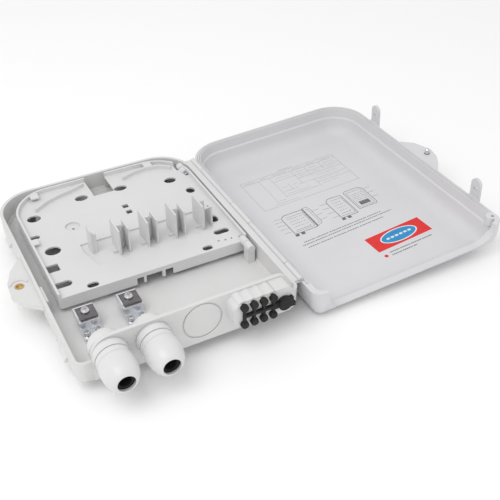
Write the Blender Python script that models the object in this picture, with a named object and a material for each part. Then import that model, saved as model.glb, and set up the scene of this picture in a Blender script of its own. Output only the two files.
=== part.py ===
"""Fibre termination box, cover open.  Blender 4.5, metres, +Z up.

The base lies on its back.  The port wall faces -Y, the hinge is on the +X side and the
cover is swung open over +X.  Everything is designed in millimetres in a working frame whose
X is 0 at the base's hinge-side wall, Y is 0 at the port wall and Z is 0 at the base's back,
then moved into the part frame by place(), which puts the origin under the middle of the base.
Cover pieces are designed shut and swung open about the hinge.
"""
import math

import bmesh
import bpy
from mathutils import Matrix, Vector

MM = 0.001

# Base, in millimetres
WIDTH = 170.0
LENGTH = 220.0
RIM_Z = 19.0
WALL = 2.5
FLOOR = 2.6
BACK_RADIUS = 32.0
FRONT_RADIUS = 7.0
FOOT = 10.0
PORT_WALL = 3.0
HUMP_LEFT_Z = 36.5
HUMP_RIGHT_Z = 37.8

# Cover and its hinge
COVER_FRONT = -12.1
COVER_RIM_Z = 19.3
COVER_TOP_Z = 46.8
COVER_FLOOR_Z = 44.4
HINGE_X = 5.6
HINGE_Z = 17.9
BARREL_R = 2.2
COVER_HINGE_SIDE = 5.4
HINGE_WALL_EXTRA = 0.9
RIM_GROOVE_INSET = 2.1
RIM_GROOVE_SHIFT = 1.15
LEDGE_SIDE = 3.0
PIN_R = 1.2
OPEN_DEG = 177.15
HINGE_START = 9.0
HINGE_END = 199.0
BASE_KNUCKLES = ((9.0, 30.0), (88.4, 119.6), (178.0, 199.0))
COVER_KNUCKLES = ((30.4, 88.0), (120.0, 177.6))

# Lock ear
LOCK_X = -179.5
LOCK_Y = 100.0
EAR_LOW = 13.0
EAR_HIGH = 17.0
COVER_EAR_HIGH = 22.4
INSERT_R = 3.5
INSERT_BORE_R = 2.4
LOCK_SHANK_R = 2.0
LOCK_HEAD_R = 4.3
LOCK_HEAD_Z = 22.8

# Snap tabs, strap lugs and supports
LATCH_YS = (171.0, 28.0)
TAB_HALF = 5.2
TAB_OUTER_X = -174.8
LUG_XS = (-135.0, -35.0)
LUG_YS = (52.0, 168.0)
LUG_HALF_X = 15.0
LUG_HALF_Y = 14.0
TRAY_SUPPORTS = ((-140, 100), (-60, 87), (-140, 186), (-42, 190))
BACK_HOLES = ((-152, 92), (-20, 92), (-126, 200), (-44, 174))
BACK_HOLE_R = 2.4
KNOCKOUT = (-78.6, 21.2)
KNOCKOUT_R = 14.0
KNOCKOUT_GROOVE = 1.2

# Cable glands
GLAND_XS = (-146.3, -115.1)
GLAND_Z = 22.6
GLAND_HOLE_R = 11.3
GLAND_TUBE_R = 11.0
GLAND_BORE_R = 8.6
GLAND_FLANGE_R = 12.7
WASHER_R = 12.4
LOCKNUT_R = 13.8
DOME_R = 13.6
DOME_MOUTH_R = 6.3
DOME_TIP_Y = -32.2
SEAL_BORE_R = 4.4

# Drop-cable ports
PORT_PITCH = 7.5
PORT_X0 = -53.0
PORT_COLUMNS = 4
PORT_ROWS_Z = (17.5, 32.5)
PORT_R = 2.4
BLOCK_FRONT = -12.0
DISC_X = -21.5
DISC_Z = 24.6
DISC_R = 4.7
FLUTE_R = 4.2
PLUG_R = 2.9
SEAL_DISC_R = 5.4

# Splice tray
TRAY_LEFT = -158.5
TRAY_RIGHT = -4.8
TRAY_FRONT = 73.0
TRAY_BACK = 214.3
TRAY_RADIUS = 34.0
TRAY_WALL = 1.8
TRAY_UNDER = 6.7
DECK_UNDER = 15.0
DECK_TOP = 16.5
TRAY_TOP = 20.0
RECESS_FLOOR = 15.2
TRAY_HINGE_X = -8.0
TRAY_HINGE_Z = 16.0
KNUCKLE_R = 3.3
TRAY_PIN_R = 1.5
TRAY_POSTS = ((60.5, 68.4), (192.6, 198.6))
TRAY_KNUCKLES = ((68.8, 76.5), (185.5, 191.9))
TRAY_NOTCH = (-91.5, -73.5)
SKIRT_NOTCHES = ((-98.5, -93.0), (-91.0, -78.0), (-75.5, -69.0))
SPLICE_WELL = (-121.3, 154.5)
FIN_PITCH = 23.3
FIN_X0 = -119.2
FIN_GROUPS = 5
FIN_TOP = 38.0

# Cable clamps
CLAMP_XS = (-145.0, -112.0)
CLAMP_WIDTH = 15.0
SHEET = 1.2
FOOT_UNDER = 3.8
STEP_UNDER = 10.8
FOOT_SCREW_Y = 41.2
FOOT_SCREW_SIDE = 4.4
STRENGTH_SCREW_Y = 55.8

WHITE = (0.78, 0.78, 0.76, 1.0)
COVER_GREY = (0.72, 0.72, 0.71, 1.0)
BLACK = (0.02, 0.02, 0.022, 1.0)
STEEL = (0.55, 0.56, 0.57, 1.0)
BRASS = (0.62, 0.42, 0.16, 1.0)

for old in list(bpy.data.objects):
    bpy.data.objects.remove(old, do_unlink=True)


# ---------------------------------------------------------------- outlines

def arc(cx, cy, r, start, end, steps, ry=None):
    """Points on an arc, angles in degrees, both ends included."""
    ry = r if ry is None else ry
    points = []
    for i in range(steps + 1):
        a = math.radians(start + (end - start) * i / steps)
        points.append((cx + r * math.cos(a), cy + ry * math.sin(a)))
    return points


def rounded(x0, x1, y0, y1, front_r, back_r, inset=0.0, steps=7):
    """Anticlockwise rounded rectangle with its own radius at the front and at the back."""
    x0, x1, y0, y1 = x0 + inset, x1 - inset, y0 + inset, y1 - inset
    f = max(front_r - inset, 1.0)
    b = max(back_r - inset, 4.0)
    points = arc(x0 + f, y0 + f, f, 180, 270, 4)
    points += arc(x1 - f, y0 + f, f, 270, 360, 4)
    points += arc(x1 - b, y1 - b, b, 0, 90, steps)
    points += arc(x0 + b, y1 - b, b, 90, 180, steps)
    return points


def base_outline(inset):
    return rounded(-WIDTH, 0.0, 0.0, LENGTH, FRONT_RADIUS, BACK_RADIUS, inset)


def cover_outline(inset, hinge_side=COVER_HINGE_SIDE):
    return rounded(-WIDTH, hinge_side, COVER_FRONT, LENGTH, FRONT_RADIUS + 2.0, BACK_RADIUS, inset)


def tray_outline(inset):
    return rounded(TRAY_LEFT, TRAY_RIGHT, TRAY_FRONT, TRAY_BACK, 3.0, TRAY_RADIUS, inset)


def strip(points, half_width):
    """Closed outline of a strip of even width along an open polyline."""
    left, right = [], []
    for i, p in enumerate(points):
        a = Vector(points[max(i - 1, 0)])
        b = Vector(points[min(i + 1, len(points) - 1)])
        d = (b - a).normalized()
        n = Vector((-d.y, d.x)) * half_width
        left.append((p[0] + n.x, p[1] + n.y))
        right.append((p[0] - n.x, p[1] - n.y))
    return left + right[::-1]


# ---------------------------------------------------------------- solids

def new_object(name, bm):
    bmesh.ops.recalc_face_normals(bm, faces=bm.faces[:])
    mesh = bpy.data.meshes.new(name)
    bm.to_mesh(mesh)
    bm.free()
    obj = bpy.data.objects.new(name, mesh)
    bpy.context.scene.collection.objects.link(obj)
    return obj


def stack(name, rings):
    """Closed solid through a list of rings of equal length, capped at both ends."""
    bm = bmesh.new()
    layers = [[bm.verts.new(p) for p in ring] for ring in rings]
    for low, high in zip(layers, layers[1:]):
        count = len(low)
        for i in range(count):
            j = (i + 1) % count
            bm.faces.new((low[i], low[j], high[j], high[i]))
    bm.faces.new(layers[0][::-1])
    bm.faces.new(layers[-1])
    return new_object(name, bm)


def prism(points, low, high, axis="Z", name="tool"):
    """Outline extruded along an axis.  Outlines are (x, y), (x, z) or (y, z)."""
    def at(p, h):
        if axis == "Z":
            return (p[0], p[1], h)
        if axis == "Y":
            return (p[0], h, p[1])
        return (h, p[0], p[1])
    return stack(name, [[at(p, low) for p in points], [at(p, high) for p in points]])


def box(x0, x1, y0, y1, z0, z1, name="tool"):
    return prism([(x0, y0), (x1, y0), (x1, y1), (x0, y1)], z0, z1, "Z", name)


def round_bar(centre, r, low, high, axis="Z", sides=20, name="tool"):
    """Cylinder.  centre is the pair of coordinates across the axis."""
    return prism(arc(centre[0], centre[1], r, 0, 360, sides)[:-1], low, high, axis, name)


def lathe(name, profile, centre, axis="Y", sides=32):
    """Closed profile of (radius, along) turned about an axis, with an open bore."""
    bm = bmesh.new()
    rows = []
    for i in range(sides):
        a = 2 * math.pi * i / sides
        row = []
        for r, h in profile:
            u, v = r * math.cos(a), r * math.sin(a)
            if axis == "Y":
                row.append(bm.verts.new((centre[0] + u, h, centre[1] + v)))
            else:
                row.append(bm.verts.new((centre[0] + u, centre[1] + v, h)))
        rows.append(row)
    count = len(profile)
    for i in range(sides):
        a, b = rows[i], rows[(i + 1) % sides]
        for k in range(count):
            m = (k + 1) % count
            bm.faces.new((a[k], a[m], b[m], b[k]))
    return new_object(name, bm)


def rings_to_solid(name, profile, centre, axis, sides):
    """Solid of revolution without a bore, from (radius, along) pairs with radius above 0."""
    rings = []
    for r, h in profile:
        ring = []
        for i in range(sides):
            a = 2 * math.pi * i / sides
            u, v = r * math.cos(a), r * math.sin(a)
            if axis == "Y":
                ring.append((centre[0] + u, h, centre[1] + v))
            else:
                ring.append((centre[0] + u, centre[1] + v, h))
        rings.append(ring)
    return stack(name, rings)


def combine(target, tools, operation):
    """Boolean each tool into the target, then remove the tools."""
    for tool in tools:
        mod = target.modifiers.new("combine", "BOOLEAN")
        mod.operation = operation
        mod.solver = "EXACT"
        mod.object = tool
    graph = bpy.context.evaluated_depsgraph_get()
    mesh = bpy.data.meshes.new_from_object(target.evaluated_get(graph))
    target.modifiers.clear()
    target.data = mesh
    for tool in tools:
        bpy.data.objects.remove(tool, do_unlink=True)
    bm = bmesh.new()
    bm.from_mesh(mesh)
    bmesh.ops.remove_doubles(bm, verts=bm.verts[:], dist=0.004)
    bmesh.ops.dissolve_degenerate(bm, edges=bm.edges[:], dist=0.004)
    bm.to_mesh(mesh)
    bm.free()
    return target


def add(target, *tools):
    return combine(target, tools, "UNION")


def cut(target, *tools):
    return combine(target, tools, "DIFFERENCE")


# ---------------------------------------------------------------- finishing

MATERIALS = {}
TO_PART = Matrix.Diagonal((MM, MM, MM, 1.0)) @ Matrix.Translation((WIDTH / 2, -LENGTH / 2, FOOT))
HINGE_POINT = Vector((HINGE_X, 0.0, HINGE_Z))
SWING = (
    Matrix.Translation(HINGE_POINT)
    @ Matrix.Rotation(math.radians(OPEN_DEG), 4, "Y")
    @ Matrix.Translation(-HINGE_POINT)
)


def material(name, colour, roughness, metallic):
    if name not in MATERIALS:
        mat = bpy.data.materials.new(name)
        mat.use_nodes = True
        shader = mat.node_tree.nodes["Principled BSDF"]
        shader.inputs["Base Color"].default_value = colour
        shader.inputs["Roughness"].default_value = roughness
        shader.inputs["Metallic"].default_value = metallic
        mat.diffuse_color = colour
        MATERIALS[name] = mat
    return MATERIALS[name]


def place(obj, name, look, on_cover=False, pivot=None):
    """Name a piece, give it its material and move it into the part frame."""
    obj.name = name
    obj.data.name = name
    obj.data.materials.clear()
    obj.data.materials.append(look)
    swing = SWING if on_cover else Matrix.Identity(4)
    obj.data.transform(TO_PART @ swing)
    point = Vector((0.0, 0.0, 0.0))
    if pivot is not None:
        point = TO_PART @ swing @ Vector(pivot)
        obj.data.transform(Matrix.Translation(-point))
    obj.location = point
    return obj


ABS_WHITE = material("abs_white", WHITE, 0.42, 0.0)
ABS_COVER = material("abs_cover", COVER_GREY, 0.45, 0.0)
ABS_TRAY = material("abs_tray", (0.80, 0.80, 0.78, 1.0), 0.45, 0.0)
NYLON = material("nylon_white", (0.76, 0.76, 0.74, 1.0), 0.35, 0.0)
RUBBER = material("rubber_black", BLACK, 0.75, 0.0)
SEAL = material("seal_grey", (0.35, 0.35, 0.35, 1.0), 0.8, 0.0)
ZINC = material("zinc_steel", STEEL, 0.3, 1.0)
SCREW = material("screw_steel", (0.66, 0.66, 0.68, 1.0), 0.25, 1.0)
BRASS_MAT = material("brass", BRASS, 0.3, 1.0)
PAPER = material("label_film", (0.74, 0.74, 0.74, 1.0), 0.5, 0.0)
RED = material("sticker_red", (0.65, 0.03, 0.02, 1.0), 0.4, 0.0)


# ---------------------------------------------------------------- base

def base_body():
    """Open shell of the base with its side walls, before anything is added to it."""
    outside = ((0.0, 3.6), (0.9, 1.6), (2.6, 0.5), (RIM_Z, 0.0))
    inside = ((RIM_Z, WALL), (5.0, WALL + 0.5), (FLOOR, WALL + 2.4))
    rings = []
    for z, inset in outside + inside:
        rings.append([(x, y, z) for x, y in base_outline(inset)])
    return stack("base", rings)


def hump_profile(grow=0.0, low=1.5):
    """Outline of the raised part of the port wall, in X and Z."""
    points = [(-158.5 - grow, low)]
    points += arc(-144.0, 22.5, 14.5 + grow, 180, 90, 6, HUMP_LEFT_Z - 22.5 + grow)
    points += arc(-20.0, 23.5, 12.0 + grow, 90, 0, 6, HUMP_RIGHT_Z - 23.5 + grow)
    points.append((-8.0 + grow, low))
    return points


def port_block():
    """Block in front of the port wall that carries the two rows of drop ports."""
    profile = arc(-54.5, 21.0, 6.0, 180, 270, 3)
    profile += arc(-18.5, 18.0, 3.5, 270, 360, 3)
    profile += arc(-18.5, 33.0, 3.5, 0, 90, 3)
    profile += [(-28.0, 36.5), (-28.0, 34.5), (-54.5, 34.5)]
    profile += arc(-54.5, 28.5, 6.0, 90, 180, 3)[1:]
    return prism(profile, BLOCK_FRONT, 1.0, "Y")


def port_centres():
    for column in range(PORT_COLUMNS):
        for z in PORT_ROWS_Z:
            yield PORT_X0 + column * PORT_PITCH, z


def strap_lug(x, y):
    """Foot on the back, with a slot along X for a pole strap."""
    outline = rounded(x - LUG_HALF_X, x + LUG_HALF_X, y - LUG_HALF_Y, y + LUG_HALF_Y, 4, 4, 0, 3)
    lug = prism(outline, -FOOT, 0.6)
    return cut(lug, box(x - 20, x + 20, y - 10.5, y + 10.5, -5.8, -2.6))


def make_base():
    base = base_body()
    ear = [(-168, 133), (-170.6, 133), (-180.5, 121), (-186.6, 107), (-187.6, 92), (-182, 80), (-170.6, 70)]
    ear.append((-168, 70))
    bosses = []
    for x in CLAMP_XS:
        for side in (-FOOT_SCREW_SIDE, FOOT_SCREW_SIDE):
            bosses.append(round_bar((x + side, FOOT_SCREW_Y), 2.8, FLOOR - 0.6, FOOT_UNDER - 0.3, "Z", 14))
        bosses.append(round_bar((x, STRENGTH_SCREW_Y), 3.6, FLOOR - 0.6, STEP_UNDER - 0.3, "Z", 16))
    for x, y in TRAY_SUPPORTS:
        bosses.append(round_bar((x, y), 3.4, FLOOR - 0.6, DECK_UNDER - 0.3, "Z", 14))
    add(base, prism(hump_profile(), 0.0, PORT_WALL, "Y"), port_block(), prism(ear, EAR_LOW, EAR_HIGH), *bosses)
    flutes = [round_bar(c, FLUTE_R, BLOCK_FRONT + 0.6, 0.6, "Y", 16) for c in port_centres()]
    flutes.append(box(PORT_X0, PORT_X0 + 24.0, BLOCK_FRONT + 0.7, 0.5, 30.0, 35.9))
    flutes.append(prism(strip(arc(LOCK_X, LOCK_Y, 7.0, 20, 160, 7), 0.7), 16.8, 17.9))
    for y in LATCH_YS:
        flutes.append(prism([(-169.4, 5.0), (-169.4, 10.0), (-171.8, 6.5), (-171.8, 5.0)], y - 6, y + 6, "Y"))
    flutes.append(box(-167.8, -165.4, 74.0, 92.0, 8.0, 17.4))
    flutes.append(round_bar((-WIDTH / 2, LENGTH / 2), 13.0, -FOOT, 0.6, "Z", 24))
    for x in LUG_XS:
        for y in LUG_YS:
            flutes.append(strap_lug(x, y))
    add(base, *flutes)
    # tray hinge posts and the cover hinge's knuckles
    posts = []
    for y0, y1 in TRAY_POSTS:
        posts.append(round_bar((TRAY_HINGE_X, TRAY_HINGE_Z), KNUCKLE_R, y0, y1, "Y", 16))
        posts.append(box(TRAY_HINGE_X - 3.0, TRAY_HINGE_X + 3.0, y0 + 0.3, y1 - 0.3, 2.0, TRAY_HINGE_Z))
    for y0, y1 in BASE_KNUCKLES:
        posts.append(round_bar((HINGE_X, HINGE_Z), BARREL_R, y0, y1, "Y", 16))
        posts.append(box(-1.2, HINGE_X, y0, y1, HINGE_Z - 2.0, HINGE_Z - 0.2))
    posts.append(box(-1.0, LEDGE_SIDE, HINGE_START, HINGE_END, HINGE_Z - 1.5, RIM_Z - 0.05))
    add(base, *posts)
    holes = [round_bar((x, GLAND_Z), GLAND_HOLE_R, -1.0, 4.0, "Y", 28) for x in GLAND_XS]
    holes += [round_bar(c, PORT_R, BLOCK_FRONT - 1, 4.0, "Y", 14) for c in port_centres()]
    holes.append(round_bar((DISC_X, DISC_Z), DISC_R, BLOCK_FRONT - 1, 4.0, "Y", 18))
    holes.append(round_bar((LOCK_X, LOCK_Y), 3.6, 12.0, 19.0, "Z", 18))
    outer = KNOCKOUT_R + KNOCKOUT_GROOVE
    groove = [(KNOCKOUT_R, -1.0), (outer, -1.0), (outer, 0.9), (KNOCKOUT_R, 0.9)]
    holes.append(lathe("tool", groove, KNOCKOUT, "Y", 40))
    holes.append(round_bar((TRAY_HINGE_X, TRAY_HINGE_Z), TRAY_PIN_R + 0.1, 61.5, 69.0, "Y", 12))
    holes.append(round_bar((TRAY_HINGE_X, TRAY_HINGE_Z), TRAY_PIN_R + 0.1, 192.0, 197.5, "Y", 12))
    holes.append(round_bar((HINGE_X, HINGE_Z), PIN_R + 0.1, HINGE_START - 1, HINGE_END + 1, "Y", 12))
    for x in CLAMP_XS:
        for side in (-FOOT_SCREW_SIDE, FOOT_SCREW_SIDE):
            holes.append(round_bar((x + side, FOOT_SCREW_Y), 1.2, 1.2, 7.0, "Z", 10))
        holes.append(round_bar((x, STRENGTH_SCREW_Y), 1.7, 4.0, 12.0, "Z", 10))
    for x, y in BACK_HOLES:
        holes.append(round_bar((x, y), BACK_HOLE_R, -1.0, 4.0, "Z", 12))
    cut(base, *holes)
    return place(base, "base_shell", ABS_WHITE)


def make_hinge_pin():
    pin = round_bar((HINGE_X, HINGE_Z), PIN_R, HINGE_START, HINGE_END, "Y", 12)
    return place(pin, "cover_hinge_pin", SCREW)


# ---------------------------------------------------------------- cover

def cover_body():
    outside = (
        (COVER_RIM_Z, 0.0), (33.0, 0.7), (38.5, 2.2), (42.4, 5.0), (45.2, 9.6), (46.4, 14.5),
        (COVER_TOP_Z, 20.0),
    )
    inside = (
        (COVER_FLOOR_Z, 23.0), (43.9, 17.5), (42.6, 13.0), (39.6, 9.2), (35.0, 7.4), (28.6, 6.6),
        (27.6, 4.9), (COVER_RIM_Z, 4.3),
    )
    rings = []
    for z, inset in outside[::-1]:
        rings.append([(x, y, z) for x, y in cover_outline(inset)])
    hinge_side = COVER_HINGE_SIDE - HINGE_WALL_EXTRA
    for z, inset in inside[::-1]:
        rings.append([(x, y, z) for x, y in cover_outline(inset, hinge_side)])
    return stack("cover", rings)


def rim_path(inset):
    """The cover's rim from the front far corner round the back to the front hinge corner."""
    x0, x1, y1 = -WIDTH + inset, COVER_HINGE_SIDE - RIM_GROOVE_SHIFT - inset, LENGTH - inset
    r = BACK_RADIUS - inset
    path = [(x1, 4.0)] + arc(x1 - r, y1 - r, r, 0, 90, 7)
    return path + arc(x0 + r, y1 - r, r, 90, 180, 7) + [(x0, 4.0)]


def latch_tab(y):
    """Snap tab that hangs beside the base's wall when the cover is shut."""
    outline = [(y - TAB_HALF, 24.0), (y + TAB_HALF, 24.0)] + arc(y, 8.5, TAB_HALF, 0, -180, 6)
    tab = prism(outline, TAB_OUTER_X, -172.3, "X")
    root = box(TAB_OUTER_X, -168.9, y - TAB_HALF, y + TAB_HALF, COVER_RIM_Z + 0.4, 24.0)
    add(tab, root)
    return cut(tab, box(-176, -171, y - 2.0, y + 2.0, 11.2, 14.2))


def make_cover():
    cover = cover_body()
    cut(cover, prism(hump_profile(1.4, 10.0), COVER_FRONT - 2, 6.0, "Y"))
    cut(cover, round_bar((GLAND_XS[0], GLAND_Z), 14.2, COVER_FRONT - 2, 6.0, "Y", 28))
    cut(cover, prism(strip(rim_path(RIM_GROOVE_INSET), 1.1), COVER_RIM_Z - 1, COVER_RIM_Z + 1.7))
    room = []
    for y0, y1 in BASE_KNUCKLES:
        room.append(round_bar((HINGE_X, HINGE_Z), BARREL_R + 0.4, y0 - 0.4, y1 + 0.4, "Y", 16))
    cut(cover, *room)
    ear = [(-168.8, 129), (-170.4, 129), (-180.6, 120), (-186.4, 104), (-184, 92), (-178, 82), (-170.4, 73)]
    ear.append((-168.8, 73))
    parts = [prism(ear, COVER_RIM_Z + 0.1, COVER_EAR_HIGH)] + [latch_tab(y) for y in LATCH_YS]
    parts.append(round_bar((-165.6, -0.6), 4.2, COVER_RIM_Z, 27.0, "Z", 14))
    for y0, y1 in COVER_KNUCKLES:
        parts.append(round_bar((HINGE_X, HINGE_Z), BARREL_R, y0, y1, "Y", 16))
        parts.append(box(HINGE_X - 1.9, HINGE_X + 2.0, y0, y1, HINGE_Z, 23.0))
    add(cover, *parts)
    holes = [round_bar((LOCK_X, LOCK_Y), 2.5, 17.0, 24.0, "Z", 16)]
    holes.append(round_bar((-166.4, -1.6), 1.3, COVER_RIM_Z - 1, 25.0, "Z", 10))
    holes.append(round_bar((HINGE_X, HINGE_Z), PIN_R + 0.1, HINGE_START - 1, HINGE_END + 1, "Y", 12))
    cut(cover, *holes)
    return place(cover, "cover_shell", ABS_COVER, True, (HINGE_X, LENGTH / 2, HINGE_Z))


def make_cover_trim():
    pivot = (HINGE_X, LENGTH / 2, HINGE_Z)
    gasket = prism(strip(rim_path(RIM_GROOVE_INSET), 0.85), COVER_RIM_Z - 0.15, COVER_RIM_Z + 1.5)
    place(gasket, "cover_gasket", SEAL, True, pivot)
    label = box(-130.0, -27.0, 66.0, 182.0, COVER_FLOOR_Z - 0.3, COVER_FLOOR_Z - 0.05)
    place(label, "instruction_label", PAPER, True, pivot)
    sticker = box(-138.0, -80.0, 31.0, 55.0, COVER_FLOOR_Z - 0.3, COVER_FLOOR_Z - 0.05)
    place(sticker, "warning_sticker", RED, True, pivot)


def make_lock():
    high = EAR_HIGH + 0.1
    profile = [(INSERT_BORE_R, EAR_LOW), (INSERT_R, EAR_LOW), (INSERT_R, high), (INSERT_BORE_R, high)]
    insert = lathe("tool", profile, (LOCK_X, LOCK_Y), "Z", 20)
    place(insert, "lock_insert", BRASS_MAT)
    profile = [(1.2, 14.4), (LOCK_SHANK_R, 15.4), (LOCK_SHANK_R, LOCK_HEAD_Z), (LOCK_HEAD_R, LOCK_HEAD_Z)]
    profile += [(LOCK_HEAD_R, LOCK_HEAD_Z + 1.4), (3.2, LOCK_HEAD_Z + 2.6)]
    screw = rings_to_solid("tool", profile, (LOCK_X, LOCK_Y), "Z", 16)
    cut(screw, box(LOCK_X - 3, LOCK_X + 3, LOCK_Y - 0.5, LOCK_Y + 0.5, 24.2, 26.0))
    place(screw, "lock_screw", SCREW, True, (LOCK_X, LOCK_Y, 22.8))


# ---------------------------------------------------------------- cable glands

def make_gland(index, x):
    centre = (x, GLAND_Z)
    body = lathe("tool", [
        (GLAND_BORE_R, 12.0), (GLAND_BORE_R, -15.0), (10.2, -15.0), (10.2, -7.0), (GLAND_FLANGE_R, -7.0),
        (GLAND_FLANGE_R, -1.7), (GLAND_TUBE_R, -1.7), (GLAND_TUBE_R, 12.0),
    ], centre, "Y", 28)
    place(body, f"gland_{index}_body", NYLON)
    washer = lathe("tool", [(11.5, -1.5), (WASHER_R, -1.5), (WASHER_R, -0.2), (11.5, -0.2)], centre, "Y", 28)
    place(washer, f"gland_{index}_washer", RUBBER)
    nut = prism(arc(x, GLAND_Z, LOCKNUT_R, 0, 360, 6)[:-1], 3.2, 8.6, "Y")
    cut(nut, round_bar(centre, 11.2, 2.0, 10.0, "Y", 28))
    place(nut, f"gland_{index}_locknut", NYLON)
    profile = [(SEAL_BORE_R, -29.6), (SEAL_BORE_R, -8.0), (8.2, -8.0), (8.2, -24.5), (6.6, -29.6)]
    seal = lathe("tool", profile, centre, "Y", 20)
    place(seal, f"gland_{index}_seal", RUBBER)
    dome = lathe("tool", [
        (10.6, -7.4), (DOME_R, -7.4), (DOME_R, -12.2), (DOME_R - 0.8, -12.7), (DOME_R, -13.3), (13.4, -18.0),
        (12.7, -22.5), (11.3, -26.8), (9.2, -30.4), (7.6, -31.8), (DOME_MOUTH_R, DOME_TIP_Y),
        (DOME_MOUTH_R, -30.8), (8.5, -25.0), (10.6, -15.4),
    ], centre, "Y", 28)
    place(dome, f"gland_{index}_dome_nut", NYLON, False, (x, -18.0, GLAND_Z))


# ---------------------------------------------------------------- drop-port seal

def make_port_seal():
    """One rubber comb: a spine with a plug above and below it for each column, and a disc."""
    last = PORT_X0 + (PORT_COLUMNS - 1) * PORT_PITCH
    seal = box(PORT_X0 - 0.5, DISC_X - 2.0, -14.9, BLOCK_FRONT - 0.3, 23.9, 26.1)
    parts = []
    for x, z in port_centres():
        profile = [(2.5, -15.6), (PLUG_R, -15.0), (PLUG_R, -12.3), (2.15, -12.3), (2.1, -7.0), (1.6, -6.0)]
        parts.append(rings_to_solid("tool", [(1.6, -15.9)] + profile, (x, z), "Y", 14))
        low, high = sorted((z, 25.0))
        parts.append(box(x - 0.9, x + 0.9, -14.6, BLOCK_FRONT - 0.35, low, high))
    profile = [(4.4, -16.6), (SEAL_DISC_R, -15.8), (SEAL_DISC_R, -12.3), (4.4, -12.3), (4.3, -7.0)]
    parts.append(rings_to_solid("tool", profile, (DISC_X, DISC_Z), "Y", 20))
    parts.append(box(DISC_X, DISC_X + 8.2, -15.2, BLOCK_FRONT - 0.32, DISC_Z - 4.4, DISC_Z - 0.8))
    parts.append(box(DISC_X, DISC_X + 6.6, -15.2, BLOCK_FRONT - 0.32, DISC_Z + 1.4, DISC_Z + 4.0))
    parts.append(box(last, DISC_X, -15.0, BLOCK_FRONT - 0.34, 22.6, 27.4))
    add(seal, *parts)
    place(seal, "drop_port_seal", RUBBER, False, (PORT_X0 + 1.5 * PORT_PITCH, BLOCK_FRONT, 25.0))


# ---------------------------------------------------------------- cable clamps

def pan_screw(name, x, y, head_z, tip_z, r=1.5, head_r=3.0):
    """Pan-head screw with a cross recess."""
    profile = [(r * 0.6, tip_z), (r, tip_z + 0.8), (r, head_z), (head_r, head_z), (head_r, head_z + 1.0)]
    profile += [(head_r * 0.78, head_z + 1.9), (head_r * 0.35, head_z + 2.2)]
    screw = rings_to_solid("tool", profile, (x, y), "Z", 14)
    slot = 0.35
    reach = head_r * 0.55
    cross = add(
        box(x - reach, x + reach, y - slot, y + slot, head_z + 1.1, head_z + 3.0),
        box(x - slot, x + slot, y - reach, y + reach, head_z + 1.15, head_z + 2.9),
    )
    cut(screw, cross)
    return place(screw, name, SCREW)


def make_clamp(index, x):
    """Bent steel bracket: a foot with two screws and a step with a pressure plate."""
    half = CLAMP_WIDTH / 2
    low, high = FOOT_UNDER, STEP_UNDER
    top = high + SHEET
    profile = [
        (36.6, low), (47.6, low), (47.6, high), (62.5, high), (62.5, top), (46.4, top), (46.4, low + SHEET),
        (36.6, low + SHEET),
    ]
    bracket = prism(profile, x - half, x + half, "X")
    side = box(x - half, x - half + SHEET, 50.0, 62.4, low + 2.6, top + 1.5)
    back = box(x - half + 0.2, x + half, 61.3, 62.6, high + 0.2, top + 1.45)
    add(bracket, side, back)
    holes = [round_bar((x, STRENGTH_SCREW_Y), 1.8, 9.0, 14.0, "Z", 12)]
    for offset in (-FOOT_SCREW_SIDE, FOOT_SCREW_SIDE):
        holes.append(round_bar((x + offset, FOOT_SCREW_Y), 1.4, 2.0, 7.0, "Z", 12))
    cut(bracket, *holes)
    place(bracket, f"clamp_{index}_bracket", ZINC)
    plate = box(x - half + SHEET + 0.5, x + half - 0.2, 48.4, 60.9, top + 0.3, top + 1.5)
    cut(plate, round_bar((x, STRENGTH_SCREW_Y), 1.8, 11.0, 16.0, "Z", 12))
    place(plate, f"clamp_{index}_pressure_plate", ZINC)
    pan_screw(f"clamp_{index}_strength_screw", x, STRENGTH_SCREW_Y, top + 1.8, 5.0, 1.5, 3.3)
    head = low + SHEET + 0.3
    for number, offset in ((1, -FOOT_SCREW_SIDE), (2, FOOT_SCREW_SIDE)):
        pan_screw(f"clamp_{index}_foot_screw_{number}", x + offset, FOOT_SCREW_Y, head, 1.8, 1.0, 2.5)


# ---------------------------------------------------------------- splice tray

DECK_HOLES = (
    # x, y, size along X, size along Y, corners
    (-146.0, 179.0, 9.0, 7.5, 4), (-145.0, 130.5, 10.0, 8.5, 4), (-152.5, 153.5, 8.0, 5.0, 12),
    (-151.5, 109.5, 9.5, 9.0, 0), (-150.5, 88.0, 14.0, 7.0, 12), (-131.0, 77.5, 9.0, 5.5, 12),
    (-37.5, 78.0, 8.5, 5.5, 12), (-102.0, 190.0, 9.0, 6.5, 4), (-67.5, 189.0, 9.0, 6.0, 4),
    (-24.8, 180.5, 8.5, 6.5, 4), (-15.6, 158.0, 7.5, 8.5, 12), (-73.5, 161.5, 5.0, 5.0, 0),
    (-73.5, 152.5, 5.0, 5.0, 0), (-18.5, 92.5, 13.0, 6.0, 12), (-26.0, 82.0, 1.8, 1.8, 12),
    (-20.6, 80.8, 1.8, 1.8, 12), (-15.4, 80.5, 1.8, 1.8, 12), (-13.0, 129.5, 1.8, 1.8, 12),
    (-16.6, 111.0, 6.0, 8.0, 3),
)


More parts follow.
